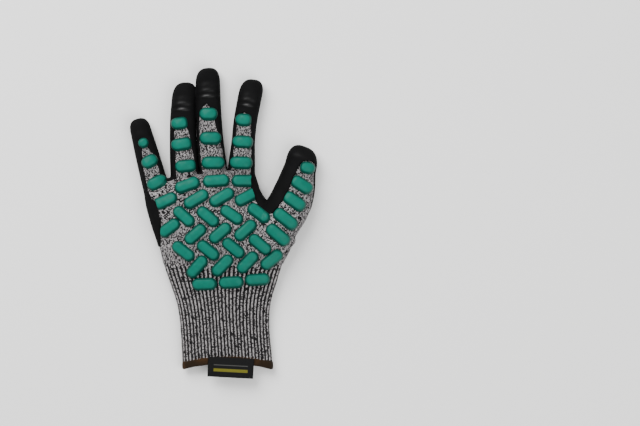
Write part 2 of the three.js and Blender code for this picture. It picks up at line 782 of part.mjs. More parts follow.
// The label lies over the hem and past it, following the cuff's curve.
function labelSolid() {
  const lift = (HEM_THICKNESS - KNIT_WALL) / 2 + CLEARANCE;
  const centre = LABEL_ACROSS * CUFF_WIDTH;
  const turn = radians(LABEL_TURN);
  const rings = LABEL_ROWS.map(({ along, sag }) => {
    const lower = [];
    const upper = [];
    for (let i = 0; i <= LABEL_COLUMNS; i += 1) {
      const side = (i / LABEL_COLUMNS - 0.5) * LABEL_WIDTH;
      const down = LABEL_OVERLAP + mouthArch(centre) - along * LABEL_LENGTH;
      const x = centre + side * Math.cos(turn) - down * Math.sin(turn);
      const y = down * Math.cos(turn) + side * Math.sin(turn);
      const z = cuffTop(x, 0) + lift + sag;
      lower.push(new THREE.Vector3(x, y, z));
      upper.unshift(new THREE.Vector3(x, y, z + LABEL_THICKNESS));
    }
    return [...lower, ...upper];
  });
  return loft(rings.map((ring) => ring.reverse()));
}

// The knit's upper surface, for the pads to sit on: a ray straight down finds it.
const padSeat = coatingInside.whole.add(loft(cuffLevels.map((level) => (
  cuffRing({ ...level, ribs: 0 }, CLEARANCE + RIB_DEPTH / 2, SEAT_POINTS)
))));
const seatMesh = new THREE.Mesh(toGeometry(padSeat));
const raycaster = new THREE.Raycaster();

function seatHeight(x, y) {
  raycaster.set(new THREE.Vector3(x, y, REACH), new THREE.Vector3(0, 0, -1));
  const hit = raycaster.intersectObject(seatMesh)[0];
  return hit ? hit.point.z : WINDOW_HEIGHT;
}

// A pad's rounded outline in plan, at a share of its half breadth.
function padOutline({ x, y, length, breadth, turn }, reach, grow = 0) {
  const radius = (breadth / 2) * reach + grow;
  const straight = Math.max(length - breadth, 0) / 2;
  return Array.from({ length: PAD_POINTS }, (_, i) => {
    const angle = (2 * Math.PI * (i + 0.5)) / PAD_POINTS;
    const along = radius * Math.cos(angle) + Math.sign(Math.cos(angle)) * straight;
    const side = radius * Math.sin(angle);
    return [
      x + along * Math.cos(turn) - side * Math.sin(turn),
      y + along * Math.sin(turn) + side * Math.cos(turn),
    ];
  });
}

// A domed pad, its underside cut to the knit's curve.
function padSolid(pad) {
  const blank = loft(PAD_RINGS.map(({ reach, rise }) => (
    padOutline(pad, reach).map(([x, y]) => (
      new THREE.Vector3(x, y, seatHeight(x, y) + rise * PAD_HEIGHT)
    )).reverse()
  )));
  const seated = blank.subtract(padSeat);
  return pad.lapped ? seated.intersect(lapLimit) : seated;
}

function handPads() {
  return Object.entries(HAND_PADS).flatMap(([row, pads]) => pads.map((pad, i) => {
    const { x, y } = handPoint([pad.across, pad.along]);
    return {
      name: `pad_${row}_${i + 1}`,
      x,
      y,
      length: pad.size * PAD_LENGTH,
      breadth: PAD_BREADTH,
      turn: radians(pad.tilt),
      lapped: pad.lapped,
    };
  }));
}

function fingerPads() {
  return FINGER_NAMES.flatMap((name) => FINGER_PADS[name].map((pad, i) => {
    const { x, y } = fingerPoint(name, pad.along, pad.side * FINGERS[name].width);
    return {
      name: `pad_${name}_${i + 1}`,
      x,
      y,
      length: pad.size * PAD_LENGTH,
      breadth: pad.breadth * PAD_BREADTH,
      turn: radians(pad.tilt - FINGERS[name].lean),
      lapped: pad.lapped,
    };
  }));
}

const pads = [...handPads(), ...fingerPads()];

// The coating stops round each pad that it doesn't lap over.
const padFootprints = pads.filter((pad) => !pad.lapped)
  .map((pad) => prism(padOutline(pad, 1, CLEARANCE), WINDOW_HEIGHT))
  .reduce((sum, part) => sum.add(part));

// Cutting can leave crumbs: the piece is the largest body.
function largest(solid) {
  const bodies = solid.decompose();
  return bodies.reduce((best, body) => (body.volume() > best.volume() ? body : best));
}

function knitPiece(outside, inside, block) {
  return largest(outside.subtract(inside).intersect(block));
}

function coatingPiece(outside, inside, block) {
  const shell = outside.subtract(inside).intersect(block).intersect(coatedZone);
  return largest(shell.subtract(backWindow).subtract(padFootprints));
}

const glove = new THREE.Group();

function addPiece(name, solid, material) {
  const mesh = new THREE.Mesh(toGeometry(solid), MATERIALS[material].clone());
  mesh.name = name;
  glove.add(mesh);
}

// Each front finger keeps clear of its neighbour towards the middle.
function besideNext(solid, name) {
  const next = FRONT_NEIGHBOUR[name];
  return next ? largest(solid.subtract(besideFinger[next])) : solid;
}

addPiece("hem", hemSolid(), "hem");
addPiece("label", labelSolid(), "label");
addPiece("knit_cuff", cuffSolid(), "knit");
addPiece("knit_hand", knitPiece(knitOutside.whole, knitInside.whole, handBlock), "knit");
addPiece("knit_thumb", knitPiece(knitOutside.whole, knitInside.whole, thumbBlock), "knit");
addPiece("coating_palm",
  coatingPiece(coatingOutside.whole, coatingInside.whole, handBlock), "coating");
addPiece("coating_thumb",
  coatingPiece(coatingOutside.whole, coatingInside.whole, thumbBlock), "coating");
FRONT_FINGERS.forEach((name) => {
  const knit = knitPiece(knitOutside.fingers[name], knitInside.fingers[name], fingerBlock);
  const coating = coatingPiece(
    coatingOutside.fingers[name], coatingInside.fingers[name], fingerBlock);
  addPiece(`knit_${name}_finger`, besideNext(knit, name), "knit");
  addPiece(`coating_${name}_finger`, besideNext(coating, name), "coating");
});
pads.forEach((pad) => addPiece(pad.name, largest(padSolid(pad)), "pad"));

// The origin is the middle of the underside of the whole glove.
const box = new THREE.Box3().setFromObject(glove);
const middle = box.getCenter(new THREE.Vector3());
glove.position.set(-middle.x, -middle.y, -box.min.z);
glove.updateMatrixWorld(true);

export default glove;
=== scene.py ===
import math

import bpy
import numpy as np
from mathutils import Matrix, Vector
from mathutils.bvhtree import BVHTree


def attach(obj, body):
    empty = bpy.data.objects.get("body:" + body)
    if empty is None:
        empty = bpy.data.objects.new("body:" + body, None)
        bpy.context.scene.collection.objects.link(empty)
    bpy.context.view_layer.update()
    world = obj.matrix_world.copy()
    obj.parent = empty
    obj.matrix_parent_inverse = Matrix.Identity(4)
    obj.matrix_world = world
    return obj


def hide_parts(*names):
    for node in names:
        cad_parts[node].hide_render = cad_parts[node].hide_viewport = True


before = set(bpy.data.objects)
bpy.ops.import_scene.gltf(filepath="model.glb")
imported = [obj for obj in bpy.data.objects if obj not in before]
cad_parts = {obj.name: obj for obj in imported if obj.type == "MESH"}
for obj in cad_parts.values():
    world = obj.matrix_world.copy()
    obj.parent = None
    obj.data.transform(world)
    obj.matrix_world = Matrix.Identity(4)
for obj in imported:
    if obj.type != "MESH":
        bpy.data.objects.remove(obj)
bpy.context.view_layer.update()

# The table, its light and the camera.
# A pale matte board under a large soft light, seen from straight above through a long lens.
# Sizes are in millimetres of the glove's pattern and become metres as each mesh is made.
MM = 0.001
PATTERN_SHIFT = np.array([0.0371, -124.4433, 0.0])
PHOTO_WIDTH_PX = 640
MM_PER_PX = 0.85
PHOTO_MIDDLE = np.array([81.95, 133.1, 0.0])
LENS = 300.0
SENSOR = 36.0
MID_HEIGHT = 12.0
BOARD_COLOR = (0.93, 0.93, 0.925, 1.0)
BOARD_HALF = 3.0
SKY_STRENGTH = 0.6


def in_frame(points):
    """Pattern millimetres as metres in the part's own frame."""
    return (np.asarray(points, float) + PATTERN_SHIFT) * MM


def new_object(name, data):
    """An object linked into the scene."""
    made = bpy.data.objects.new(name, data)
    bpy.context.scene.collection.objects.link(made)
    return made


def add_node(tree, kind, inputs=None, **settings):
    """A shader node with its inputs linked to sockets or set to values."""
    made = tree.nodes.new(kind)
    for key, value in settings.items():
        setattr(made, key, value)
    for key, value in (inputs or {}).items():
        if isinstance(value, bpy.types.NodeSocket):
            tree.links.new(value, made.inputs[key])
        else:
            made.inputs[key].default_value = value
    return made


def new_material(name, **constants):
    """A material with its Principled shader, whose plain values sit on the sockets."""
    material = bpy.data.materials.new(name)
    material.use_nodes = True
    shader = material.node_tree.nodes["Principled BSDF"]
    for key, value in constants.items():
        shader.inputs[key.replace("_", " ")].default_value = value
    return material, material.node_tree, shader


distance = PHOTO_WIDTH_PX * MM_PER_PX * LENS / SENSOR
camera_data = bpy.data.cameras.new("camera")
camera_data.lens = LENS
camera_data.sensor_width = SENSOR
camera = new_object("camera", camera_data)
camera.location = in_frame(PHOTO_MIDDLE + [0.0, 0.0, distance + MID_HEIGHT])
bpy.context.scene.camera = camera

board_mesh = bpy.data.meshes.new("board")
corners = [(x * BOARD_HALF, y * BOARD_HALF, 0) for x, y in ((-1, -1), (1, -1), (1, 1), (-1, 1))]
board_mesh.from_pydata(corners, [], [(0, 1, 2, 3)])
board = new_object("board", board_mesh)
board_material, _, board_shader = new_material("pale board", Roughness=0.9)
board_shader.inputs["Base Color"].default_value = BOARD_COLOR
board_mesh.materials.append(board_material)


def add_light(name, place, size, power):
    """A square soft light that faces the middle of the glove."""
    data = bpy.data.lights.new(name, "AREA")
    data.size = size
    data.energy = power
    light = new_object(name, data)
    light.location = place
    light.rotation_euler = (-Vector(place)).to_track_quat("-Z", "Y").to_euler()


add_light("window light", (-0.6, 0.9, 1.2), 1.1, 40.0)
add_light("fill light", (0.9, -0.7, 1.4), 1.4, 22.0)
world = bpy.data.worlds.new("studio")
world.use_nodes = True
sky = world.node_tree.nodes["Background"]
sky.inputs["Color"].default_value = (1.0, 1.0, 1.0, 1.0)
sky.inputs["Strength"].default_value = SKY_STRENGTH
bpy.context.scene.world = world

# The ribbed cuff.
# One by one rib in a grey melange of cut resistant yarn, knitted in one piece with the hand.
# Raised ribs show the light flecked yarn; the furrows between them are coloured almost wholly
# dark, partly for the dark yarn there and partly as painted shade.
CUFF_LENGTH = 90.0
CUFF_WIDTH = 80.0
CUFF_HEIGHT = 13.0
KNIT_WALL = 1.5
CLEARANCE = 0.3
COATING_THICKNESS = 0.8
LINER_FLOOR = CLEARANCE + COATING_THICKNESS
RIB_PITCH = 2.86
RIB_DEPTH = 0.9
RIB_FADE = 4.0
RIB_START_SPREAD = 5.0
RIB_START_GAP = 0.5
RIB_POWER = 0.7
RIB_WANDER = 0.12
CUFF_TUCK = 0.6
HEM_HEIGHT = 7.0
MOUTH_ARCH = 5.0
BELLY_SHARE = 0.44
OVAL_POWER = 2.3
FLAT_DROP = 1.25
POINTS_PER_RIB = 10
CUFF_ROW_COUNT = 84
LINING_ROWS = 16
LINING_POINTS = 96
WALES_PER_RIB = 2
COURSE_HEIGHT = 0.88
LIGHT_YARN = (0.308, 0.291, 0.295, 1.0)
DARK_YARN = (0.003, 0.003, 0.0035, 1.0)
STITCH_SLANT = 0.55
KNIT_RELIEF = 0.35
LINING_RELIEF = 0.3
LINING_DARK = 0.5

# What a leg, a loop, a run of yarn and its twist each add to a fleck, and how soft it is.
LEG_WEIGHT = 0.58
LOOP_WEIGHT = 0.34
RUN_WEIGHT = 0.08
TWIST_WEIGHT = 0.04
FLECK_SOFTNESS = 0.06

# The ribs' share of the cuff, and the share of dark yarn on them and in the furrows; the
# furrows' dark is partly painted shade.
RIB_SHARE = 0.54
RIB_SOFTNESS = 0.07
RIB_DARK = 0.41
FURROW_DARK_AND_SHADE = 0.97

# Shares of the cuff's length, width, width and height.
CUFF_ROWS = np.array([
    # along, left, right, height
    (0.0, -0.43, 0.513, 0.92),
    (0.66, -0.505, 0.505, 1.25),
    (0.83, -0.57, 0.56, 1.45),
    (1.0, -0.632, 0.622, 1.7),
])


def curve_through(stations, values, x):
    """A smooth curve through values at stations, with slopes taken from the neighbours."""
    stations = np.asarray(stations, float)
    values = np.asarray(values, float)
    slopes = np.gradient(values, stations, axis=0)
    x = np.clip(np.asarray(x, float), stations[0], stations[-1])
    i = np.clip(np.searchsorted(stations, x) - 1, 0, len(stations) - 2)
    span = stations[i + 1] - stations[i]
    t = (x - stations[i]) / span
    if values.ndim > 1:
        t, span = t[..., None], span[..., None]
    rise = values[i] * (2 * t**3 - 3 * t**2 + 1) + values[i + 1] * (3 * t**2 - 2 * t**3)
    return rise + span * (slopes[i] * (t**3 - 2 * t**2 + t) + slopes[i + 1] * (t**3 - t**2))


def turned(x, y, angle):
    """Plan coordinates turned by an angle."""
    return x * math.cos(angle) - y * math.sin(angle), x * math.sin(angle) + y * math.cos(angle)


def signed_power(value, power):
    """A power of a sine or cosine that keeps its sign: it squares an oval off."""
    return np.sign(value) * np.abs(value) ** (2 / power)


def soft_oval(half_width, height, count, offset=0.0):
    """A cross-section with a flat underside: points across and above the table."""
    angle = 2 * np.pi * np.arange(count) / count
    belly = BELLY_SHARE * height
    lift = signed_power(np.sin(angle), OVAL_POWER)
    drop = belly + offset
    under = np.maximum(FLAT_DROP * drop * lift, -drop)
    up = np.where(lift > 0, (height - belly + offset) * lift, under)
    across = (half_width + offset) * signed_power(np.cos(angle), OVAL_POWER)
    return across, LINER_FLOOR + belly + up


def cuff_row(y):
    """Middle, half width and height of the cuff at a height up it."""
    left, right, height = curve_through(CUFF_ROWS[:, 0], CUFF_ROWS[:, 1:], y / CUFF_LENGTH)
    middle = CUFF_WIDTH * (left + right) / 2
    return middle, CUFF_WIDTH * (right - left) / 2, height * CUFF_HEIGHT


def mouth_arch(x):
    """How far the mouth's edge rises across the cuff."""
    middle, half_width, _ = cuff_row(0.0)
    return MOUTH_ARCH * np.maximum(1 - ((x - middle) / half_width) ** 2, 0)


def cuff_walk(y, offset, steps):
    """The cuff's section in equal steps: points in x and z, and the ways out of the wall."""
    middle, half_width, height = cuff_row(y)
    across, up = soft_oval(half_width, height, 8 * steps, offset)
    ring = np.stack([across, up], axis=1)
    closed = np.vstack([ring, ring[:1]])
    lengths = np.concatenate([[0], np.cumsum(np.linalg.norm(np.diff(closed, axis=0), axis=1))])
    wanted = lengths[-1] * np.arange(steps) / steps
    points = np.stack([np.interp(wanted, lengths, closed[:, k]) for k in (0, 1)], axis=1)
    along = np.roll(points, -1, axis=0) - np.roll(points, 1, axis=0)
    out = np.stack([along[:, 1], -along[:, 0]], axis=1)
    out /= np.linalg.norm(out, axis=1)[:, None]
    points[:, 0] += middle
    return points, out, lengths[-1]


def tube_faces(rows, count, inward=False):
    """Quads between closed rows of points."""
    row = count * np.arange(rows - 1)[:, None]
    here = np.arange(count)[None, :]
    beside = (here + 1) % count
    corners = [row + here, row + count + here, row + count + beside, row + beside]
    if inward:
        corners = corners[::-1]
    return np.stack(np.broadcast_arrays(*corners), axis=-1).reshape(-1, 4)


def tube_map(rows, count, across, along):
    """Stitch coordinates for the corners of tube_faces: across is the full turn."""
    u = across * np.arange(count + 1) / count
    corner_u = np.stack([u[:-1], u[:-1], u[1:], u[1:]], axis=-1)
    corner_u = np.broadcast_to(corner_u, (rows - 1, count, 4))
    low, high = along[:-1], along[1:]
    corner_v = np.stack([low, high, high, low], axis=-1)[:, None, :]
    corner_v = np.broadcast_to(corner_v, (rows - 1, count, 4))
    return np.stack([corner_u, corner_v], axis=-1).reshape(-1, 2)


def new_piece(name, points, faces, material, stitches=None):
    """A smooth mesh piece from points in pattern millimetres, with its stitch map."""
    mesh = bpy.data.meshes.new(name)
    mesh.from_pydata(in_frame(points).tolist(), [], [list(face) for face in faces])
    mesh.polygons.foreach_set("use_smooth", np.ones(len(mesh.polygons), bool))
    if stitches is not None:
        layer = mesh.uv_layers.new(name="stitches")
        layer.data.foreach_set("uv", np.asarray(stitches, np.float32).ravel())
    mesh.materials.append(material)
    mesh.update()
    piece = new_object(name, mesh)
    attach(piece, "root")
    return piece


def new_group(name, inputs, outputs):
    """A shader node group with named sockets of the kinds Vector, Float and Color."""
    group = bpy.data.node_groups.new(name, "ShaderNodeTree")
    for way, sockets in (("INPUT", inputs), ("OUTPUT", outputs)):
        for label, kind in sockets.items():
            group.interface.new_socket(name=label, in_out=way, socket_type="NodeSocket" + kind)
    start = group.nodes.new("NodeGroupInput")
    end = group.nodes.new("NodeGroupOutput")
    return group, start.outputs, end.inputs


def maths(tree, operation, *values):
    """One arithmetic node."""
    made = add_node(tree, "ShaderNodeMath", dict(enumerate(values)), operation=operation)
    return made.outputs[0]


def ramp(tree, value, low, high, start=0.0, end=1.0):
    """A smooth step from start to end as the value goes from low to high."""
    inputs = {"Value": value, "From Min": low, "From Max": high, "To Min": start, "To Max": end}
    made = add_node(tree, "ShaderNodeMapRange", inputs, interpolation_type="SMOOTHSTEP")
    return made.outputs["Result"]


def mixed(tree, factor, first, second, blend="MIX"):
    """Two colours mixed by a factor."""
    made = add_node(tree, "ShaderNodeMix", {0: factor, 6: first, 7: second},
                    data_type="RGBA", blend_type=blend)
    return made.outputs[2]


def dimmed(tree, color, tone):
    """A colour times a tone."""
    grey = add_node(tree, "ShaderNodeCombineColor", {"Red": tone, "Green": tone, "Blue": tone})
    return mixed(tree, 1.0, color, grey.outputs[0], "MULTIPLY")


def add_relief(tree, shader, height, distance, strength):
    """A height of so many millimetres on a material's normal."""
    relief = add_node(tree, "ShaderNodeBump", {
        "Height": height, "Distance": distance * MM, "Strength": strength})
    tree.links.new(relief.outputs["Normal"], shader.inputs["Normal"])


def cell_speck(tree, column, row, seed):
    """A random number for each cell of a grid."""
    cell = add_node(tree, "ShaderNodeCombineXYZ", {"X": column, "Y": row, "Z": seed})
    speck = add_node(tree, "ShaderNodeTexWhiteNoise", {"Vector": cell.outputs[0]},
                     noise_dimensions="3D")
    return speck.outputs["Value"]


def melange_knit():
    """Plain stitches of two-colour yarn: each leg of a stitch is light or dark."""
    group, given, result = new_group(
        "melange knit",
        {"Stitches": "Vector", "Light Yarn": "Color",
         "Dark Yarn": "Color", "Dark Share": "Float"},
        {"Color": "Color", "Height": "Float"})
    split = add_node(group, "ShaderNodeSeparateXYZ", {"Vector": given["Stitches"]})
    wale, course = split.outputs["X"], split.outputs["Y"]
    legs = maths(group, "MULTIPLY", wale, 2.0)
    leg = maths(group, "FLOOR", legs)
    over_leg = maths(group, "FRACT", legs)
    centred = maths(group, "MULTIPLY_ADD", maths(group, "FRACT", wale), 2.0, -1.0)
    slant = maths(group, "MULTIPLY", maths(group, "ABSOLUTE", centred), -STITCH_SLANT)
    slanted = maths(group, "ADD", course, slant)
    row = maths(group, "FLOOR", slanted)
    up_leg = maths(group, "FRACT", slanted)
    leg_speck = cell_speck(group, leg, row, 0.5)
    loop_column = maths(group, "FLOOR", maths(group, "ADD", wale, 0.25))
    loop_speck = cell_speck(group, loop_column, row, 7.5)
    place = add_node(group, "ShaderNodeCombineXYZ", {
        "X": maths(group, "MULTIPLY", wale, 0.45), "Y": maths(group, "MULTIPLY", row, 2.3),
        "Z": 3.3})
    run = add_node(group, "ShaderNodeTexNoise", {
        "Vector": place.outputs[0], "Scale": 1.0, "Detail": 0.0})
    loops = maths(group, "MULTIPLY", loop_speck, LOOP_WEIGHT)
    legs_too = maths(group, "MULTIPLY_ADD", leg_speck, LEG_WEIGHT, loops)
    fleck = maths(group, "MULTIPLY_ADD", run.outputs["Fac"], RUN_WEIGHT, legs_too)
    turn = maths(group, "MULTIPLY_ADD", up_leg, 2.0, over_leg)
    twist = maths(group, "SINE", maths(group, "MULTIPLY", turn, 2 * math.pi))
    twisted = maths(group, "MULTIPLY_ADD", twist, TWIST_WEIGHT, fleck)
    low = maths(group, "ADD", given["Dark Share"], -FLECK_SOFTNESS)
    high = maths(group, "ADD", given["Dark Share"], FLECK_SOFTNESS)
    dark = ramp(group, twisted, low, high, 1.0, 0.0)
    yarn = mixed(group, dark, given["Light Yarn"], given["Dark Yarn"])
    side = maths(group, "MULTIPLY_ADD", over_leg, 2.0, -1.0)
    round_leg = maths(group, "SUBTRACT", 1.0, maths(group, "MULTIPLY", side, side))
    end = maths(group, "MULTIPLY_ADD", up_leg, 2.0, -1.0)
    loop = maths(group, "SUBTRACT", 1.0, maths(group, "MULTIPLY", end, end))
    height = maths(group, "MULTIPLY", round_leg, maths(group, "MULTIPLY_ADD", loop, 0.5, 0.5))
    # The yarn's colour is darkened where a leg falls away to its sides and where its loop dips:
    # painted shade in the gaps between the stitches.
    painted_gap_shade = ramp(group, height, 0.0, 0.5, 0.45, 1.0)
    tint = maths(group, "MULTIPLY_ADD", leg_speck, 0.7, 0.55)
    color = dimmed(group, yarn, maths(group, "MULTIPLY", painted_gap_shade, tint))
    group.links.new(color, result["Color"])
    group.links.new(height, result["Height"])
    return group


def rib_furrow():
    """A mask that is one in the furrows between the raised ribs."""
    group, given, result = new_group(
        "rib furrow",
        {"Stitches": "Vector", "Rib Share": "Float",
         "Softness": "Float"},
        {"Mask": "Float"})
    split = add_node(group, "ShaderNodeSeparateXYZ", {"Vector": given["Stitches"]})
    phase = maths(group, "MULTIPLY_ADD", split.outputs["X"], 1 / WALES_PER_RIB, 0.5)
    off_crest = maths(group, "ABSOLUTE", maths(group, "ADD", maths(group, "FRACT", phase), -0.5))
    edge = maths(group, "MULTIPLY", given["Rib Share"], 0.5)
    low = maths(group, "SUBTRACT", edge, given["Softness"])
    high = maths(group, "ADD", edge, given["Softness"])
    group.links.new(ramp(group, off_crest, low, high), result["Mask"])
    return group


MELANGE = melange_knit()
FURROW = rib_furrow()


def knit_material(name, dark_share, relief):
    """A melange knit: dark_share gives the share of dark yarn from the tree and stitch map."""
    material, tree, shader = new_material(name, Roughness=0.95, Sheen_Weight=0.06,
                                          Sheen_Roughness=0.6, Specular_IOR_Level=0.1)
    stitches = add_node(tree, "ShaderNodeUVMap", uv_map="stitches").outputs["UV"]
    knit = add_node(tree, "ShaderNodeGroup", {
        "Stitches": stitches, "Light Yarn": LIGHT_YARN, "Dark Yarn": DARK_YARN,
        "Dark Share": dark_share(tree, stitches)}, node_tree=MELANGE)
    tree.links.new(knit.outputs["Color"], shader.inputs["Base Color"])
    add_relief(tree, shader, knit.outputs["Height"], relief, 0.8)
    return material


def ribbed_share(tree, stitches):
    """Little dark yarn on the ribs and much dark in the furrows, there partly dark yarn and
    partly painted shade.
    """
    furrow = add_node(tree, "ShaderNodeGroup", {
        "Stitches": stitches, "Rib Share": RIB_SHARE, "Softness": RIB_SOFTNESS},
        node_tree=FURROW)
    # Each furrow starts at its own height under the plain knit of the hand.
    split = add_node(tree, "ShaderNodeSeparateXYZ", {"Vector": stitches})
    furrow_number = maths(tree, "FLOOR", maths(tree, "MULTIPLY", split.outputs["X"],
                                               1 / WALES_PER_RIB))
    own = add_node(tree, "ShaderNodeTexWhiteNoise", {"W": furrow_number},
                   noise_dimensions="1D")
    start = maths(tree, "MULTIPLY_ADD", own.outputs["Value"], -RIB_START_SPREAD,
                  (CUFF_LENGTH - RIB_START_GAP) / COURSE_HEIGHT)
    below = maths(tree, "SUBTRACT", start, split.outputs["Y"])
    depth = maths(tree, "MULTIPLY", furrow.outputs["Mask"], ramp(tree, below, -1.5, 1.5))
    # The furrows are darkened almost wholly: dark yarn and painted shade in the recess.
    ribs = ramp(tree, depth, 0.0, 1.0, RIB_DARK, FURROW_DARK_AND_SHADE)
    plain = maths(tree, "MULTIPLY", ramp(tree, below, -1.5, 1.5, 1.0, 0.0), 0.1)
    return maths(tree, "ADD", ribs, plain)


rib_material = knit_material("ribbed melange knit", ribbed_share, KNIT_RELIEF)
lining_material = knit_material("inside of the knit", lambda tree, stitches: LINING_DARK,
                                LINING_RELIEF)

rib_count = 2 * round(cuff_walk(0.0, 0.0, 64)[2] / RIB_PITCH / 2)
around = rib_count * POINTS_PER_RIB
foot = HEM_HEIGHT - 1.0
levels = np.linspace(foot, CUFF_LENGTH + CUFF_TUCK, CUFF_ROW_COUNT)
rib_wave = np.cos(2 * np.pi * np.arange(around) / POINTS_PER_RIB)
rib_shape = np.sign(rib_wave) * np.abs(rib_wave) ** RIB_POWER


def cuff_ring(level, points):
    """A row of the cuff at a level, lifted below where the mouth arches."""
    rise = mouth_arch(points[:, 0]) * (levels[-1] - level) / (levels[-1] - foot)
    return np.stack([points[:, 0], level + rise, points[:, 1]], axis=1)


outer_rows = []
for level in levels:
    points, out, _ = cuff_walk(level, 0.0, around)
    strength = np.clip((CUFF_LENGTH + 2.0 - level) / RIB_FADE, 0.2, 1.0)
    # Ribs wander and vary in height a little, as a washed knit's do.
    wander = RIB_WANDER * np.sin(0.11 * level + 0.37 * np.arange(around) / POINTS_PER_RIB)
    points = points + out * (0.5 * RIB_DEPTH * strength * rib_shape - 0.1 + wander)[:, None]
    outer_rows.append(cuff_ring(level, points))
inner_rows = [cuff_ring(level, cuff_walk(level, -KNIT_WALL, LINING_POINTS)[0])
              for level in np.linspace(foot, levels[-1], LINING_ROWS)]
cuff_points = np.vstack(outer_rows + inner_rows)
outer_faces = tube_faces(CUFF_ROW_COUNT, around)
inner_faces = tube_faces(LINING_ROWS, LINING_POINTS, inward=True) + CUFF_ROW_COUNT * around
outer_map = tube_map(CUFF_ROW_COUNT, around, WALES_PER_RIB * rib_count, levels / COURSE_HEIGHT)
inner_map = tube_map(LINING_ROWS, LINING_POINTS, WALES_PER_RIB * rib_count,
                     np.linspace(foot, CUFF_LENGTH, LINING_ROWS) / COURSE_HEIGHT)
cuff = new_piece("ribbed_cuff", cuff_points, np.vstack([outer_faces, inner_faces]), rib_material,
                 np.vstack([outer_map, inner_map]))
cuff.data.materials.append(lining_material)
lining_index = np.zeros(len(cuff.data.polygons), np.int32)
lining_index[len(outer_faces):] = 1
cuff.data.polygons.foreach_set("material_index", lining_index)
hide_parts("knit_cuff")

# The knitted hand.
# A seamless liner in plain stitches of the same melange yarn, with five closed fingers.
# The fingers run out of the hand, and the knit is pulled smooth where they part.
HAND_LENGTH = 72.0
HAND_WIDTH = 109.0
HAND_HEIGHT = 25.0
FINGER_HEIGHT = 20.0
KNUCKLE_ROUND = 0.18
TIP_POWER = 2.9
WALE_WIDTH = 1.06
SKIN_VOXEL = 1.1
SKIN_SMOOTHING = 6
FINGER_GAP = 1.5
PLAIN_DARK = 0.535
WRIST_START = 0.82
HAND_RING_COUNT = 48
HAND_POINTS = 128
FINGER_RING_COUNT = 44
FINGER_POINTS = 72
TIGHTEST_SQUEEZE = 0.6

# Shares of the hand's width and length for the left and the right point, and of its height.
HAND_ROWS = np.array([
    # left across, left along, right across, right along, height
    (-0.468, -0.02, 0.46, -0.02, 0.87),
    (-0.502, 0.21, 0.53, 0.19, 0.96),
    (-0.55, 0.43, 0.55, 0.33, 1.0),
    (-0.592, 0.65, 0.31, 0.78, 0.93),
    (-0.61, 0.79, 0.253, 0.98, 0.82),
])

FINGERS = {
    # length, width, height, lean in degrees
    "thumb": (82.0, 33.0, 24.0, 20.8),
    "index": (93.5, 18.2, FINGER_HEIGHT, 6.7),
    "middle": (102.9, 19.4, FINGER_HEIGHT, -4.2),
    "ring": (94.5, 20.0, FINGER_HEIGHT, -0.5),
    "little": (74.7, 17.9, FINGER_HEIGHT, -15.0),
}
LONG_FINGERS = [name for name in FINGERS if name != "thumb"]

# Shares of a finger's length along it and of its bend, then of its width and its height.
FINGER_ROWS = {
    "thumb": [(0, 0, 1.06, 0.95), (0.12, 0.01, 1.14, 1), (0.36, 0.06, 1.1, 0.95),
              (0.59, 0.058, 0.96, 0.85), (0.78, 0.032, 0.78, 0.75)],
    "index": [(0, 0, 1.2, 0.85), (0.27, -0.019, 1.115, 0.92), (0.41, -0.026, 1.0, 0.88),
              (0.6, -0.031, 0.99, 0.8), (0.85, -0.016, 1.01, 0.72)],
    "middle": [(0, 0, 1.175, 0.85), (0.25, -0.019, 1.11, 0.92), (0.43, -0.022, 1.046, 0.88),
               (0.66, -0.018, 1.0, 0.78), (0.86, -0.01, 0.98, 0.72)],
    "ring": [(0, 0, 1.165, 0.85), (0.3, -0.02, 1.1, 0.92), (0.455, -0.026, 1.05, 0.87),
             (0.68, -0.027, 0.995, 0.78), (0.855, -0.019, 0.93, 0.72)],
    "little": [(0, 0, 1.175, 0.85), (0.35, 0, 1.09, 0.86), (0.63, 0, 1.0, 0.76),
               (0.85, 0, 0.89, 0.7)],
}

# The side on which a finger lies against its neighbour.
NEIGHBOURS = {"index": ("middle", -1), "ring": ("middle", 1), "little": ("ring", 1)}


def hand_point(across, along):
    """A place in plan from shares of the hand's width and length."""
    return np.array([across * HAND_WIDTH, CUFF_LENGTH + along * HAND_LENGTH])


def beside(name, neighbour, spacing, along):
    """A finger's root beside its neighbour's, at a share of their mean width."""
    step = spacing * (FINGERS[name][1] + FINGERS[neighbour][1]) / 2
    return np.array([roots[neighbour][0] + step, hand_point(0, along)[1]])


roots = {"thumb": hand_point(0.367, 0.306), "middle": hand_point(-0.055, 0.875)}
roots["index"] = beside("index", "middle", 1.09, 0.875)
roots["ring"] = beside("ring", "middle", -1.296, 0.817)
roots["little"] = beside("little", "ring", -1.17, 0.699)


def finger_axes(name):
    """The way along a finger and the way across it, in plan."""
    lean = math.radians(FINGERS[name][3])
    along = np.array([math.sin(lean), math.cos(lean)])
    return along, np.array([math.cos(lean), -math.sin(lean)])


def finger_shape(name, share):
    """Bend, half width and height of a finger in millimetres at shares of its length."""
    length, width, height, _ = FINGERS[name]
    rows = np.array(FINGER_ROWS[name], float)
    share = np.asarray(share, float)
    bend, wide, tall = np.moveaxis(curve_through(rows[:, 0], rows[:, 1:], share), -1, 0)
    past = np.clip((share - rows[-1, 0]) / (1 - rows[-1, 0]), 0, 1)
    narrow = (1 - past**TIP_POWER) ** (1 / TIP_POWER)
    bend = bend * np.where(past > 0, 1 - past, 1)
    return bend * length, wide * width / 2 * narrow, tall * height, narrow


def finger_place(name, share, side):
    """A place in plan on a finger: a share along it and millimetres beside its bend."""
    along, across = finger_axes(name)
    length = FINGERS[name][0]
    bend = finger_shape(name, share)[0]
    share, side = np.asarray(share, float), np.asarray(side, float)
    return (roots[name] + (share * length)[..., None] * along
            + (bend + side)[..., None] * across)


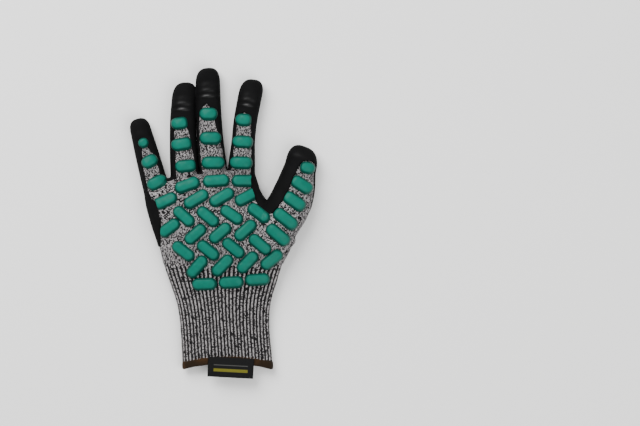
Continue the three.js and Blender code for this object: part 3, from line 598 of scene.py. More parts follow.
def finger_coordinates(name, points):
    """Millimetres along a finger and beside its bend for points in plan."""
    along, across = finger_axes(name)
    offset = points[..., :2] - roots[name]
    distance = offset @ along
    bend = finger_shape(name, np.clip(distance / FINGERS[name][0], 0, 1))[0]
    return distance, offset @ across - bend


def ring_at(centre, across, section):
    """A cross-section set up at a place in plan, across a direction in plan."""
    wide, up = section
    return np.column_stack([centre[0] + across[0] * wide, centre[1] + across[1] * wide, up])


def scaled_oval(half_width, height, count, scale):
    """A soft oval that shrinks towards the middle of its height."""
    across, up = soft_oval(half_width, height, count)
    middle = LINER_FLOOR + BELLY_SHARE * height
    return across * scale, middle + (up - middle) * scale


def hand_rings():
    """Cross-sections of the hand, from inside the cuff to the rounded knuckles."""
    wrist_y = WRIST_START * CUFF_LENGTH
    middle, half_width, height = cuff_row(wrist_y)
    table = [(middle - half_width, wrist_y, middle + half_width, wrist_y, height)]
    for left_x, left_y, right_x, right_y, share in HAND_ROWS:
        left = hand_point(left_x, left_y)
        right = hand_point(right_x, right_y)
        table.append((*left, *right, share * HAND_HEIGHT))
    rings = []
    steps = np.linspace(0, len(table) - 1, HAND_RING_COUNT)
    for row in curve_through(np.arange(len(table)), table, steps):
        left, right, height = row[:2], row[2:4], row[4]
        half_width = np.linalg.norm(right - left) / 2
        across = (right - left) / (2 * half_width)
        centre = (left + right) / 2
        rings.append(ring_at(centre, across, soft_oval(half_width, height, HAND_POINTS)))
    forward = np.array([-across[1], across[0]])
    for angle in np.radians([12, 24, 36, 48, 60, 72, 82]):
        reach = KNUCKLE_ROUND * HAND_LENGTH * signed_power(math.sin(angle), TIP_POWER)
        section = scaled_oval(half_width, height, HAND_POINTS,
                              signed_power(math.cos(angle), TIP_POWER))
        rings.append(ring_at(centre + forward * reach, across, section))
    return rings


def finger_rings(name):
    """Cross-sections of a finger from inside the hand to its tip, clear of its neighbour."""
    across = finger_axes(name)[1]
    tip = FINGER_ROWS[name][-1][0]
    angles = np.radians([12, 24, 36, 48, 60, 70, 78, 84])
    shares = np.concatenate([np.linspace(0, tip, FINGER_RING_COUNT),
                             tip + (1 - tip) * signed_power(np.sin(angles), TIP_POWER)])
    rings = []
    for share in shares:
        bend, half_width, height, narrow = finger_shape(name, share)
        wide, up = scaled_oval(half_width / narrow, height, FINGER_POINTS, narrow)
        if name in NEIGHBOURS:
            other, way = NEIGHBOURS[name]
            edge = finger_place(name, share, way * half_width)
            distance, beside_bend = finger_coordinates(other, edge)
            place = np.clip(distance / FINGERS[other][0], 0, 1)
            room = -way * beside_bend - finger_shape(other, place)[1] - FINGER_GAP
            if distance < FINGERS[other][0] and room < 0:
                squeeze = max(1 + room / half_width, TIGHTEST_SQUEEZE)
                wide = np.where(wide * way > 0, wide * squeeze, wide)
        rings.append(ring_at(finger_place(name, share, 0.0), across, (wide, up)))
    return rings


def closed_loft(rings):
    """Points and faces of a solid through rings of points."""
    count = len(rings[0])
    points = np.vstack(rings + [rings[0].mean(axis=0), rings[-1].mean(axis=0)])
    faces = [list(face) for face in tube_faces(len(rings), count)]
    first = len(rings) * count
    last = first - count
    for i in range(count):
        j = (i + 1) % count
        faces.append([first, i, j])
        faces.append([first + 1, last + j, last + i])
    return points, faces


def one_skin(solids):
    """Solids fused into one smooth skin: its points in millimetres and its triangles."""
    points, faces, total = [], [], 0
    for solid_points, solid_faces in solids:
        points.append(solid_points)
        faces += [[corner + total for corner in face] for face in solid_faces]
        total += len(solid_points)
    mesh = bpy.data.meshes.new("skin blank")
    mesh.from_pydata(np.vstack(points).tolist(), [], faces)
    blank = new_object("skin blank", mesh)
    remesh = blank.modifiers.new("fuse", "REMESH")
    remesh.mode = "VOXEL"
    remesh.voxel_size = SKIN_VOXEL
    smooth = blank.modifiers.new("pull smooth", "SMOOTH")
    smooth.factor = 0.5
    smooth.iterations = SKIN_SMOOTHING
    evaluated = blank.evaluated_get(bpy.context.evaluated_depsgraph_get())
    result = evaluated.to_mesh()
    result.calc_loop_triangles()
    skin = np.empty(3 * len(result.vertices))
    result.vertices.foreach_get("co", skin)
    triangles = np.empty(3 * len(result.loop_triangles), np.int64)
    result.loop_triangles.foreach_get("vertices", triangles)
    evaluated.to_mesh_clear()
    bpy.data.objects.remove(blank)
    return skin.reshape(-1, 3), triangles.reshape(-1, 3)


def vertex_normals(points, triangles):
    """Unit normals at the points of a triangle mesh."""
    a, b, c = (points[triangles[:, k]] for k in range(3))
    face = np.cross(b - a, c - a)
    normals = np.zeros_like(points)
    for k in range(3):
        np.add.at(normals, triangles[:, k], face)
    return normals / np.maximum(np.linalg.norm(normals, axis=1), 1e-12)[:, None]


def split_at(data, triangles, level):
    """A triangle mesh with new points where its last column crosses a level."""
    data = data.copy()
    data[np.abs(data[:, -1] - level) < 0.1, -1] = level
    above = data[:, -1] > level
    below = data[:, -1] < level
    crossing = above[triangles].any(axis=1) & below[triangles].any(axis=1)
    cut = triangles[crossing]
    flags = above[cut]
    lone_above = flags.sum(axis=1) == 1
    lone = np.where(lone_above, flags.argmax(axis=1), (~flags).argmax(axis=1))
    rows = np.arange(len(cut))
    a, b, c = (cut[rows, (lone + k) % 3] for k in range(3))
    edges = np.sort(np.vstack([np.column_stack([a, b]), np.column_stack([a, c])]), axis=1)
    unique, back = np.unique(edges, axis=0, return_inverse=True)
    low, high = data[unique[:, 0]], data[unique[:, 1]]
    share = (level - low[:, -1]) / (high[:, -1] - low[:, -1])
    fresh = low + (high - low) * share[:, None]
    fresh[:, -1] = level
    first = len(data) + back[:len(cut)]
    second = len(data) + back[len(cut):]
    added = np.vstack([np.column_stack([a, first, second]), np.column_stack([first, b, c]),
                       np.column_stack([first, c, second])])
    return np.vstack([data, fresh]), np.vstack([triangles[~crossing], added])


def kept(data, triangles, wanted):
    """The triangles that are wanted, with only the points that they use."""
    triangles = triangles[wanted]
    used, back = np.unique(triangles, return_inverse=True)
    return data[used], back.reshape(-1, 3)


solids = [closed_loft(hand_rings())] + [closed_loft(finger_rings(name)) for name in FINGERS]
skin_points, skin_triangles = one_skin(solids)
wrist = np.column_stack([skin_points, CUFF_LENGTH - skin_points[:, 1]])
wrist, skin_triangles = split_at(wrist, skin_triangles, 0.0)
wrist, skin_triangles = kept(wrist, skin_triangles,
                             (wrist[:, -1][skin_triangles] <= 0).all(axis=1))
skin_points = wrist[:, :3]
skin_normals = vertex_normals(skin_points, skin_triangles)


def around_share(half_width, height):
    """A table from a direction round a cross-section to the share of the way round it."""
    across, up = soft_oval(half_width, height, 720)
    up = up - LINER_FLOOR - BELLY_SHARE * height
    ring = np.column_stack([across, up])
    steps = np.linalg.norm(np.roll(ring, -1, axis=0) - ring, axis=1)
    angle = np.unwrap(np.arctan2(up, across))
    share = np.concatenate([[0], np.cumsum(steps)[:-1]]) / steps.sum()
    return np.append(angle, angle[0] + 2 * np.pi), np.append(share, 1.0), steps.sum()


def stitch_map(points, triangles):
    """Wales and courses at each corner: every finger and the hand count their own."""
    middle = points[triangles].mean(axis=1)
    owner = np.full(len(triangles), -1)
    closest = np.full(len(triangles), np.inf)
    for index, name in enumerate(FINGERS):
        distance, side = finger_coordinates(name, middle)
        start = 0.2 * FINGERS[name][0]
        half_width = finger_shape(name, np.clip(distance / FINGERS[name][0], 0, 1))[1]
        reach = np.abs(side) / np.maximum(half_width, 4.0)
        better = (distance > start) & (reach < np.minimum(closest, 1.6))
        owner[better] = index
        closest[better] = reach[better]
    result = np.zeros((len(triangles), 3, 2))
    corners = points[triangles]
    for index, name in enumerate([*FINGERS, "hand"]):
        mine = owner == (index if name != "hand" else -1)
        if name == "hand":
            side = corners[mine][..., 0]
            distance = corners[mine][..., 1]
            half_width, height = HAND_WIDTH / 2, HAND_HEIGHT
        else:
            distance, side = finger_coordinates(name, corners[mine])
            half_width, height = FINGERS[name][1] / 2, 0.82 * FINGERS[name][2]
        angles, shares, perimeter = around_share(half_width, height)
        up = corners[mine][..., 2] - LINER_FLOOR - BELLY_SHARE * height
        turn = np.arctan2(up, side) % (2 * np.pi)
        share = np.interp(turn, angles, shares)
        share -= np.round(share - share[:, :1])
        wales = round(perimeter / WALE_WIDTH)
        result[mine, :, 0] = share * wales
        result[mine, :, 1] = distance / COURSE_HEIGHT
    return result.reshape(-1, 2)


plain_material = knit_material("plain melange knit", lambda tree, stitches: PLAIN_DARK,
                               KNIT_RELIEF)
liner = new_piece("knitted_hand", skin_points, skin_triangles, plain_material,
                  stitch_map(skin_points, skin_triangles))
wall = liner.modifiers.new("knit wall", "SOLIDIFY")
wall.thickness = KNIT_WALL * MM
wall.offset = -1.0
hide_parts("knit_hand", "knit_thumb", *(f"knit_{name}_finger" for name in LONG_FINGERS))

# The dipped coating.
# Black foam rubber over the palm, the fingertips and the fingers' sides. The liner is dipped
# on a former, so the film ends in a soft rounded lip round the open back, and it wrinkles
# across the joints nearest the fingertips.
COAT_FILM = 1.05
COAT_LIP = 1.0
COAT_FOOT = -0.15
WINDOW_HEIGHT = 6.0
COAT_LEVELS = (0.0, -0.18, -0.45, -0.85)
WRINKLE_BOW = 0.014
VALLEY_DEPTH = 0.45
VALLEY_RUN = 1.5
VALLEY_GAP = 1.6
COAT_COLOR = (0.004, 0.004, 0.0042, 1.0)

# The open back of each finger: shares of its length, then of its width left and right.
FINGER_WINDOWS = {
    "thumb": [(0.2, -0.27, 0.9), (0.36, -0.212, 0.9), (0.475, -0.18, 0.9), (0.6, -0.14, 0.9),
              (0.72, -0.095, 0.8), (0.83, -0.02, 0.6), (0.885, 0.08, 0.34)],
    "index": [(0.02, -0.5, 0.4), (0.33, -0.43, 0.43), (0.5, -0.37, 0.34), (0.64, -0.33, 0.23),
              (0.695, -0.18, 0.0)],
    "middle": [(0.02, -0.5, 0.57), (0.2, -0.48, 0.53), (0.37, -0.47, 0.46), (0.58, -0.43, 0.24),
               (0.66, -0.3, 0.12), (0.715, -0.14, -0.02)],
    "ring": [(0.05, -0.42, 0.52), (0.32, -0.32, 0.45), (0.51, -0.35, 0.3), (0.6, -0.34, 0.18),
             (0.69, -0.2, 0)],
    "little": [(0.05, -0.42, 0.42), (0.34, -0.34, 0.37), (0.55, -0.27, 0.31),
               (0.64, -0.18, 0.2), (0.68, -0.06, 0.07)],
}

# The open back of the hand: shares of its width and length.
HAND_WINDOW = [
    (-0.5, -0.1), (0.75, -0.1), (0.75, 0.5), (0.6, 0.62), (0.43, 0.63), (0.34, 0.565),
    (0.285, 0.655), (0.25, 0.74), (0.23, 0.82), (0.212, 0.9), (0.2, 1.0), (0.16, 1.085),
    (0.035, 1.115), (-0.08, 1.08), (-0.19, 1.06), (-0.3, 1.01), (-0.42, 0.98), (-0.5, 0.94),
    (-0.58, 0.9), (-0.545, 0.82), (-0.518, 0.72), (-0.503, 0.62), (-0.487, 0.5),
    (-0.483, 0.4), (-0.488, 0.25), (-0.5, 0.12),
]

# On the thumb's outer side the coating climbs: shares of the thumb's length, millimetres.
THUMB_CLIMB = [(0.3, 0.0), (0.48, 2.5), (0.72, 6.0), (0.9, 8.0)]

# The coating's lower edge under the palm: shares of the hand's width and length.
PALM_EDGE = np.array([(-1, 0.2), (-0.5, 0.2), (-0.2, 0.12), (0.2, 0.12), (0.5, 0.2), (1, 0.2)])

# Wrinkles over the fingertips: the share along the finger, millimetres long and high, the
# share of the width that shines, and how much.
WRINKLES = {
    "thumb": [(0.9, 2.6, 0.5, 0.7, 0.07)],
    "index": [(0.86, 2.4, 0.4, 0.9, 0.06), (0.818, 1.7, 0.9, 0.5, 0.3),
              (0.768, 1.1, 0.8, 0.3, 1.0)],
    "middle": [(0.865, 2.6, 0.5, 0.9, 0.08), (0.823, 1.7, 0.9, 0.5, 0.28),
               (0.776, 1.1, 0.8, 0.5, 0.7)],
    "ring": [(0.86, 2.4, 0.4, 0.9, 0.06), (0.817, 1.7, 0.9, 0.55, 0.3),
             (0.766, 1.1, 0.8, 0.35, 0.9)],
    "little": [(0.84, 2.4, 0.3, 0.6, 0.04)],
}


def rounded(outline, rounds=3):
    """An outline with its corners cut again and again until they are round."""
    outline = np.asarray(outline, float)
    for _ in range(rounds):
        ahead = np.roll(outline, -1, axis=0)
        near, far = 0.75 * outline + 0.25 * ahead, 0.25 * outline + 0.75 * ahead
        outline = np.stack([near, far], axis=1).reshape(-1, 2)
    return outline


def inside_distance(points, outline):
    """How far points in plan lie inside an outline: outside counts as negative."""
    nearest = np.full(len(points), np.inf)
    inside = np.zeros(len(points), bool)
    x, y = points[:, 0], points[:, 1]
    for (ax, ay), (bx, by) in zip(outline, np.roll(outline, -1, axis=0)):
        ex, ey = bx - ax, by - ay
        along = np.clip(((x - ax) * ex + (y - ay) * ey) / (ex * ex + ey * ey), 0, 1)
        nearest = np.minimum(nearest, (x - ax - along * ex) ** 2 + (y - ay - along * ey) ** 2)
        if ay != by:
            inside ^= ((ay > y) != (by > y)) & (x < ax + ex * (y - ay) / ey)
    return np.where(inside, 1, -1) * np.sqrt(nearest)


windows = [rounded([hand_point(*share) for share in HAND_WINDOW])]
for name, rows in FINGER_WINDOWS.items():
    width = FINGERS[name][1]
    right = [finger_place(name, row[0], row[2] * width) for row in rows]
    left = [finger_place(name, row[0], row[1] * width) for row in rows]
    windows.append(rounded(right + left[::-1]))


def open_back(points):
    """How far inside the open back points lie in plan."""
    return np.max([inside_distance(points, outline) for outline in windows], axis=0)


palm_points = np.array([hand_point(*share) for share in PALM_EDGE])
ragged = (0.22 * np.sin(0.55 * skin_points[:, 0] + 1.7 * np.sin(0.31 * skin_points[:, 1]))
          + 0.18 * np.sin(0.83 * skin_points[:, 1] + 2.1 * np.sin(0.47 * skin_points[:, 0])))
along, side = finger_coordinates("thumb", skin_points)
climb = np.interp(along / FINGERS["thumb"][0], *zip(*THUMB_CLIMB)) * np.clip(side / 4, 0, 1)
edge_height = WINDOW_HEIGHT + climb * (along > 0) + ragged
bare = np.minimum(open_back(skin_points) + ragged, skin_points[:, 2] - edge_height)
palm_line = np.interp(skin_points[:, 0], palm_points[:, 0], palm_points[:, 1])
bare = np.maximum(bare, palm_line - skin_points[:, 1])
coat_data = np.column_stack([skin_points, skin_normals, bare])
coat_triangles = skin_triangles
for level in COAT_LEVELS:
    coat_data, coat_triangles = split_at(coat_data, coat_triangles, level)
coat_data, coat_triangles = kept(coat_data, coat_triangles,
                                 (coat_data[:, -1][coat_triangles] <= 0).all(axis=1))
depth = np.clip(-coat_data[:, -1] / COAT_LIP, 0, 1)
film = COAT_FOOT + (COAT_FILM - COAT_FOOT) * np.sqrt(1 - (1 - depth) ** 2)
taut = np.zeros(len(film))
for name, wrinkles in WRINKLES.items():
    along, side = finger_coordinates(name, coat_data)
    half_width = FINGERS[name][1] / 2
    for share, run, strength, shining, shine in wrinkles:
        bowed = along - share * FINGERS[name][0] + WRINKLE_BOW * side**2
        crest = np.exp(-(np.abs(bowed / run) ** 2.5))
        valley = VALLEY_DEPTH * np.exp(-(((bowed + run + VALLEY_GAP) / VALLEY_RUN) ** 2))
        near = np.exp(-((side / (0.8 * half_width)) ** 4)) * (np.abs(side) < 1.5 * half_width)
        over = near * depth * np.clip(2 * coat_data[:, 5], 0, 1)
        film = film + strength * (crest - valley) * over
        narrow = np.exp(-((side / (shining * half_width)) ** 2))
        taut = np.maximum(taut, shine * crest * over * narrow)
coat_points = coat_data[:, :3] + coat_data[:, 3:6] * film[:, None]


def uneven_tone():
    """A slow unevenness of tone over a surface, about one."""
    group, given, result = new_group(
        "uneven tone",
        {"Place": "Vector", "Patch Size": "Float",
         "Spread": "Float"},
        {"Tone": "Float"})
    scale = maths(group, "DIVIDE", 1.0, given["Patch Size"])
    noise = add_node(group, "ShaderNodeTexNoise", {
        "Vector": given["Place"], "Scale": scale, "Detail": 3.0})
    centred = maths(group, "ADD", noise.outputs["Fac"], -0.5)
    tone = maths(group, "MULTIPLY_ADD", centred, given["Spread"], 1.0)
    group.links.new(tone, result["Tone"])
    return group


def foam_grain():
    """The open pores of dipped foam: a height that drops in small pits."""
    group, given, result = new_group(
        "foam grain",
        {"Place": "Vector", "Pore Size": "Float"},
        {"Height": "Float"})
    scale = maths(group, "DIVIDE", 1.0, given["Pore Size"])
    pores = add_node(group, "ShaderNodeTexVoronoi", {"Vector": given["Place"], "Scale": scale})
    pits = ramp(group, pores.outputs["Distance"], 0.05, 0.5)
    coarse = add_node(group, "ShaderNodeTexNoise", {
        "Vector": given["Place"], "Scale": maths(group, "MULTIPLY", scale, 0.25), "Detail": 4.0})
    height = maths(group, "MULTIPLY_ADD", coarse.outputs["Fac"], 2.0, pits)
    group.links.new(height, result["Height"])
    return group


UNEVEN = uneven_tone()
FOAM = foam_grain()


def toned(tree, place, color, patch, spread):
    """A colour with a slow unevenness of tone, in patches of so many millimetres."""
    uneven = add_node(tree, "ShaderNodeGroup", {
        "Place": place, "Patch Size": patch * MM, "Spread": spread}, node_tree=UNEVEN)
    return dimmed(tree, color, uneven.outputs["Tone"])


def foam_relief(tree, shader, place, pore, depth, strength):
    """Foam rubber's fine grain on a material: its pores and their depth in millimetres."""
    foam = add_node(tree, "ShaderNodeGroup", {"Place": place, "Pore Size": pore * MM},
                    node_tree=FOAM)
    add_relief(tree, shader, foam.outputs["Height"], depth, strength)


def mark(piece, name, values):
    """One number at each point of a piece, for its material."""
    layer = piece.data.attributes.new(name, "FLOAT", "POINT")
    layer.data.foreach_set("value", np.asarray(values, np.float32))


coat_material, tree, shader = new_material("black foam rubber", Roughness=0.8,
                                           Specular_IOR_Level=0.05, Coat_Roughness=0.36,
                                           Coat_IOR=1.45)
place = add_node(tree, "ShaderNodeTexCoord").outputs["Object"]
tree.links.new(toned(tree, place, COAT_COLOR, 9, 0.8), shader.inputs["Base Color"])
stretched = add_node(tree, "ShaderNodeAttribute", attribute_name="taut").outputs["Fac"]
tree.links.new(stretched, shader.inputs["Coat Weight"])
foam_relief(tree, shader, place, 0.45, 0.06, 0.6)
coating = new_piece("dipped_coating", coat_points, coat_triangles, coat_material)
mark(coating, "taut", taut)
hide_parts("coating_palm", "coating_thumb",
            *(f"coating_{name}_finger" for name in LONG_FINGERS))

# The damping pads.
# Forty-three soft green rubber pads moulded on to the knit, in rows over the back of the hand
# and along the fingers. Each has a sloping side and a flatter crown, and those at the edge of
# the open back end straight where the coating runs over them.
PAD_LENGTH = 22.0
PAD_BREADTH = 9.8
PAD_HEIGHT = 4.0
PAD_AROUND = 56
PAD_EDGE_ROUND = 0.5
PAD_COLOR = (0.0022, 0.115, 0.08, 1.0)
# The darker green of the sides is painted shade on the sloping sides of each pad.
PAD_SIDE_SHADE_COLOR = (0.001, 0.054, 0.039, 1.0)
PAD_SHIFT = np.array([0.45, -0.75])
PAD_SPREAD = (1.025, 1.07)
CROWN_SHIFT = 0.35
PAD_DROOP = 4.5
PAD_UNEVEN = 0.035
CROWN_WANDER = 0.2
LEAN_OUT = 0.55
LEAN_UP = 0.6
SEAT_RAY_HEIGHT = 60.0
SIDE_SEAT_RISE = 1.5
SLEEVE_LENGTH = 40
SLEEVE_ROWS = 24
SLEEVE_POINTS = 120
SLEEVE_OUT = 0.3

# Pads on the hand: shares of its width and length, then of the pad's length, tilt, lapped.
HAND_PADS = {
    "knuckle": [(-0.285, 0.935, 0.99, 20, 0), (-0.061, 0.986, 1.02, 4, 0),
                (0.164, 0.988, 1.02, 0, 1)],
    "back_a": [(-0.456, 0.751, 0.95, 25, 1), (-0.215, 0.771, 1.04, 31, 0),
               (-0.016, 0.791, 1.03, 30, 0), (0.183, 0.798, 1.03, 28, 1)],
    "back_b": [(-0.31, 0.569, 0.96, -42, 0), (-0.123, 0.565, 0.98, -40, 0),
               (0.061, 0.585, 0.98, -35, 0), (0.271, 0.605, 0.98, -37, 0)],
    "back_c": [(-0.425, 0.431, 0.92, 36, 1), (-0.221, 0.358, 0.97, 41, 0),
               (-0.029, 0.372, 0.99, 41, 0), (0.168, 0.403, 1.0, 42, 0)],
    "back_d": [(-0.315, 0.158, 0.98, -38, 0), (-0.121, 0.168, 0.98, -39, 0),
               (0.075, 0.196, 0.99, -40, 0), (0.281, 0.239, 1.0, -40, 0)],
    "wrist_a": [(-0.208, -0.026, 1.0, 49, 0), (-0.011, -0.01, 1.0, 45, 0),
                (0.184, 0.027, 1.0, 46, 0), (0.372, 0.057, 0.98, 39, 0)],
    "wrist_b": [(-0.152, -0.23, 0.95, 2, 0), (0.057, -0.21, 0.95, 3, 0),
                (0.262, -0.177, 0.95, 4, 0)],
}

# Pads on the fingers from the tip: share along, side, length, breadth, tilt, lapped.
FINGER_PADS = {
    "thumb": [(0.818, 0.165, 0.57, 0.92, 9, 0), (0.633, 0.11, 0.9, 0.98, -12, 1),
              (0.446, 0.06, 0.95, 1, -14, 1), (0.242, 0.077, 1.06, 1, -17, 1),
              (0.062, 0.121, 1.05, 1, -19, 0)],
    "index": [(0.638, -0.11, 0.6, 0.97, 4, 0), (0.44, -0.04, 0.75, 0.94, 3, 0),
              (0.249, -0.045, 0.83, 0.96, 5, 0)],
    "middle": [(0.633, -0.02, 0.68, 0.97, -4, 0), (0.433, 0.006, 0.8, 0.98, -4, 0),
               (0.23, 0.018, 0.86, 0.96, -4, 0)],
    "ring": [(0.647, -0.16, 0.62, 0.92, 8, 0), (0.458, -0.09, 0.76, 0.95, 9, 0),
             (0.262, 0.036, 0.77, 0.95, 6, 0)],
    "little": [(0.735, -0.03, 0.29, 0.78, 0, 0), (0.515, 0.03, 0.64, 0.95, 15, 0),
               (0.262, 0.1, 0.77, 0.96, 12, 0)],
}

# How square the right and the left end of the pads on each finger are: 2 is round.
BLUNT_ENDS = {"thumb": (2.2, 2.2), "index": (2.6, 2.2), "middle": (2.3, 2.2),
              "ring": (3.0, 2.2), "little": (2.1, 2.0)}
FINGER_PAD_SWELL = 1.09

# A pad's profile from its foot to its crown: shares of its half breadth and of its height.
PAD_PROFILE = [
    (1.0, -0.25), (1.01, -0.05), (1.0, 0.12), (0.965, 0.27), (0.9, 0.44), (0.82, 0.6),
    (0.745, 0.74), (0.69, 0.825), (0.62, 0.88), (0.53, 0.92), (0.42, 0.952), (0.3, 0.976),
    (0.18, 0.99), (0.07, 0.996),
]

# The pads sit on the skin and on a plain sleeve through the ribs' crests.
sleeve_rows = []
for level in np.linspace(CUFF_LENGTH - SLEEVE_LENGTH, CUFF_LENGTH, SLEEVE_ROWS):
    points, _, _ = cuff_walk(level, SLEEVE_OUT, SLEEVE_POINTS)
    sleeve_rows.append(np.insert(points, 1, level, axis=1))
sleeve = np.vstack(sleeve_rows)
quads = tube_faces(SLEEVE_ROWS, SLEEVE_POINTS)
sleeve_triangles = np.vstack([quads[:, [0, 1, 2]], quads[:, [0, 2, 3]]])
seat_points = np.vstack([skin_points, sleeve])
seat_triangles = np.vstack([skin_triangles, sleeve_triangles + len(skin_points)])
seat_tree = BVHTree.FromPolygons(seat_points.tolist(), seat_triangles.tolist())


def seat(x, y):
    """The knit's surface under a point in plan, and the way out of it."""
    above = Vector((x, y, SEAT_RAY_HEIGHT))
    place, normal, _, _ = seat_tree.ray_cast(above, Vector((0, 0, -1)))
    if place is None or place.z < WINDOW_HEIGHT:
        beside_it = Vector((x, y, WINDOW_HEIGHT + SIDE_SEAT_RISE))
        place, normal, _, _ = seat_tree.find_nearest(beside_it)
        return np.array([x, y, place.z]), np.array(normal)
    return np.array(place), np.array(normal)


def capsule(length, breadth, reach, count, blunt):
    """An outline from the middle of one end, drawn in by a share of its half breadth.

    blunt gives how square the right and the left end are: 2 is round.
    """
    straight = max(length - breadth, 0.0) / 2
    arc = math.pi * breadth / 4
    turn = 4 * np.arange(count) / count
    quarter = np.floor(turn).astype(int)
    walked = (turn - quarter) * (arc + straight)
    walked = np.where(quarter % 2 == 1, arc + straight - walked, walked)
    angle = np.minimum(walked / arc, 1) * math.pi / 2
    radius = breadth / 2 * reach
    left = (quarter == 1) | (quarter == 2)
    power = np.where(left, blunt[1], blunt[0])
    x = straight - np.maximum(walked - arc, 0) + radius * signed_power(np.cos(angle), power)
    y = radius * signed_power(np.sin(angle), power)
    return np.where(left, -x, x), np.where(quarter < 2, y, -y)


def pad_mesh(centre, length, breadth, turn, lapped, blunt, seed):
    """Points and faces of one pad, laid on the knit."""
    rows = []
    middle_height = seat(*centre)[0][2]
    wander = CROWN_WANDER * np.array([math.sin(7.0 * seed), math.cos(5.0 * seed)])
    lean = PAD_SHIFT * CROWN_SHIFT + wander
    for reach, rise in PAD_PROFILE:
        x, y = capsule(length, breadth, reach, PAD_AROUND, blunt)
        plan = np.column_stack(turned(x, y, turn))
        plan = plan + centre + PAD_SHIFT + (lean - PAD_SHIFT) * max(rise, 0.0)
        if lapped:
            depth = open_back(plan) - CLEARANCE
            step = 0.05
            slope = np.column_stack([
                open_back(plan + [step, 0]) - open_back(plan - [step, 0]),
                open_back(plan + [0, step]) - open_back(plan - [0, step])]) / (2 * step)
            wanted = np.where(depth < 0, -PAD_EDGE_ROUND * np.tanh(-depth / PAD_EDGE_ROUND / 3),
                              depth)
            plan = plan + slope * (wanted - depth)[:, None]
        wave = np.sin(0.9 * plan[:, 0] + seed) * np.sin(0.8 * plan[:, 1] + 2 * seed)
        height = PAD_HEIGHT * (rise + PAD_UNEVEN * wave * max(rise, 0.0))
        ring = np.empty((PAD_AROUND, 3))
        for i, (px, py) in enumerate(plan):
            place, normal = seat(px, py)
            # The pad is stiffer than the knit, so its ends droop only so far down a finger.
            droop = max(middle_height - place[2], 0.0)
            place[2] += droop - PAD_DROOP * math.tanh(droop / PAD_DROOP)
            lift = normal * LEAN_OUT + np.array([0.0, 0.0, LEAN_UP])
            lift /= np.linalg.norm(lift)
            ring[i] = place + lift * height[i]
        rows.append(ring)
    points = np.vstack(rows)
    faces = [list(face)[::-1] for face in tube_faces(len(rows), PAD_AROUND)]
    last = (len(rows) - 1) * PAD_AROUND
    # Crosswise strips close the crown and the underside.
    for i in range(PAD_AROUND // 2):
        strip = [i, i + 1, PAD_AROUND - i - 1, (PAD_AROUND - i) % PAD_AROUND]
        # At each end the strip is a triangle.
        strip = list(dict.fromkeys(strip))
        faces.append([last + corner for corner in strip])
        faces.append(strip[::-1])
    return points, faces


pad_material, tree, shader = new_material("green damping rubber", Roughness=0.45,
                                          Specular_IOR_Level=0.09)
place = add_node(tree, "ShaderNodeTexCoord").outputs["Object"]
crown = add_node(tree, "ShaderNodeAttribute", attribute_name="crown").outputs["Fac"]
# The sloping sides are coloured darker than the crown by their rise: painted shade on the slope.
green_with_side_shade = mixed(tree, ramp(tree, crown, 0.62, 0.98), PAD_SIDE_SHADE_COLOR, PAD_COLOR)
tree.links.new(toned(tree, place, green_with_side_shade, 6, 0.4), shader.inputs["Base Color"])
foam_relief(tree, shader, place, 0.6, 0.03, 0.5)

pad_jobs = []
for row, pads in HAND_PADS.items():
    for i, (across, along, size, tilt, lapped) in enumerate(pads):
        pad_jobs.append((f"pad_{row}_{i + 1}", hand_point(across, along), size * PAD_LENGTH,
                         PAD_BREADTH, math.radians(tilt), lapped, (2.0, 2.0)))
for name, pads in FINGER_PADS.items():
    length, width, _, lean = FINGERS[name]
    for i, (along, side, size, breadth, tilt, lapped) in enumerate(pads):
        pad_jobs.append((f"pad_{name}_{i + 1}", finger_place(name, along, side * width),
                         size * PAD_LENGTH, breadth * PAD_BREADTH * FINGER_PAD_SWELL,
                         math.radians(tilt - lean), lapped, BLUNT_ENDS[name]))
for seed, (name, centre, length, breadth, turn, lapped, blunt) in enumerate(pad_jobs):
    points, faces = pad_mesh(centre, PAD_SPREAD[0] * length, PAD_SPREAD[1] * breadth, turn,
                             lapped, blunt, seed)
    pad = new_piece(f"soft_{name}", points, faces, pad_material)
    mark(pad, "crown", np.repeat([rise for _, rise in PAD_PROFILE], PAD_AROUND))
    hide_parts(name)

# The overlocked hem.
# Dark brown thread wrapped close over the cuff's raw edge, all round the mouth.
# The wraps lie slanted side by side, and the edge rises in a shallow arch.
HEM_THICKNESS = 3.2
WRAPS = 210
POINTS_PER_WRAP = 6
WRAP_SLANT = 1.6
WRAP_DEPTH = 0.22
HEM_PROFILE = 18
THREAD_COLOR = (0.034, 0.0155, 0.005, 1.0)
THREAD_SHADE = (0.014, 0.008, 0.0035, 1.0)
END_BULGE = 0.3
HEM_TOP_POWER = 3.2
HEM_SIDE_POWER = 2.6
HEM_UNEVEN = 0.12

hem_steps = WRAPS * POINTS_PER_WRAP
walk, out, _ = cuff_walk(0.0, -KNIT_WALL / 2, hem_steps)
hem_points = np.empty((hem_steps, HEM_PROFILE, 3))
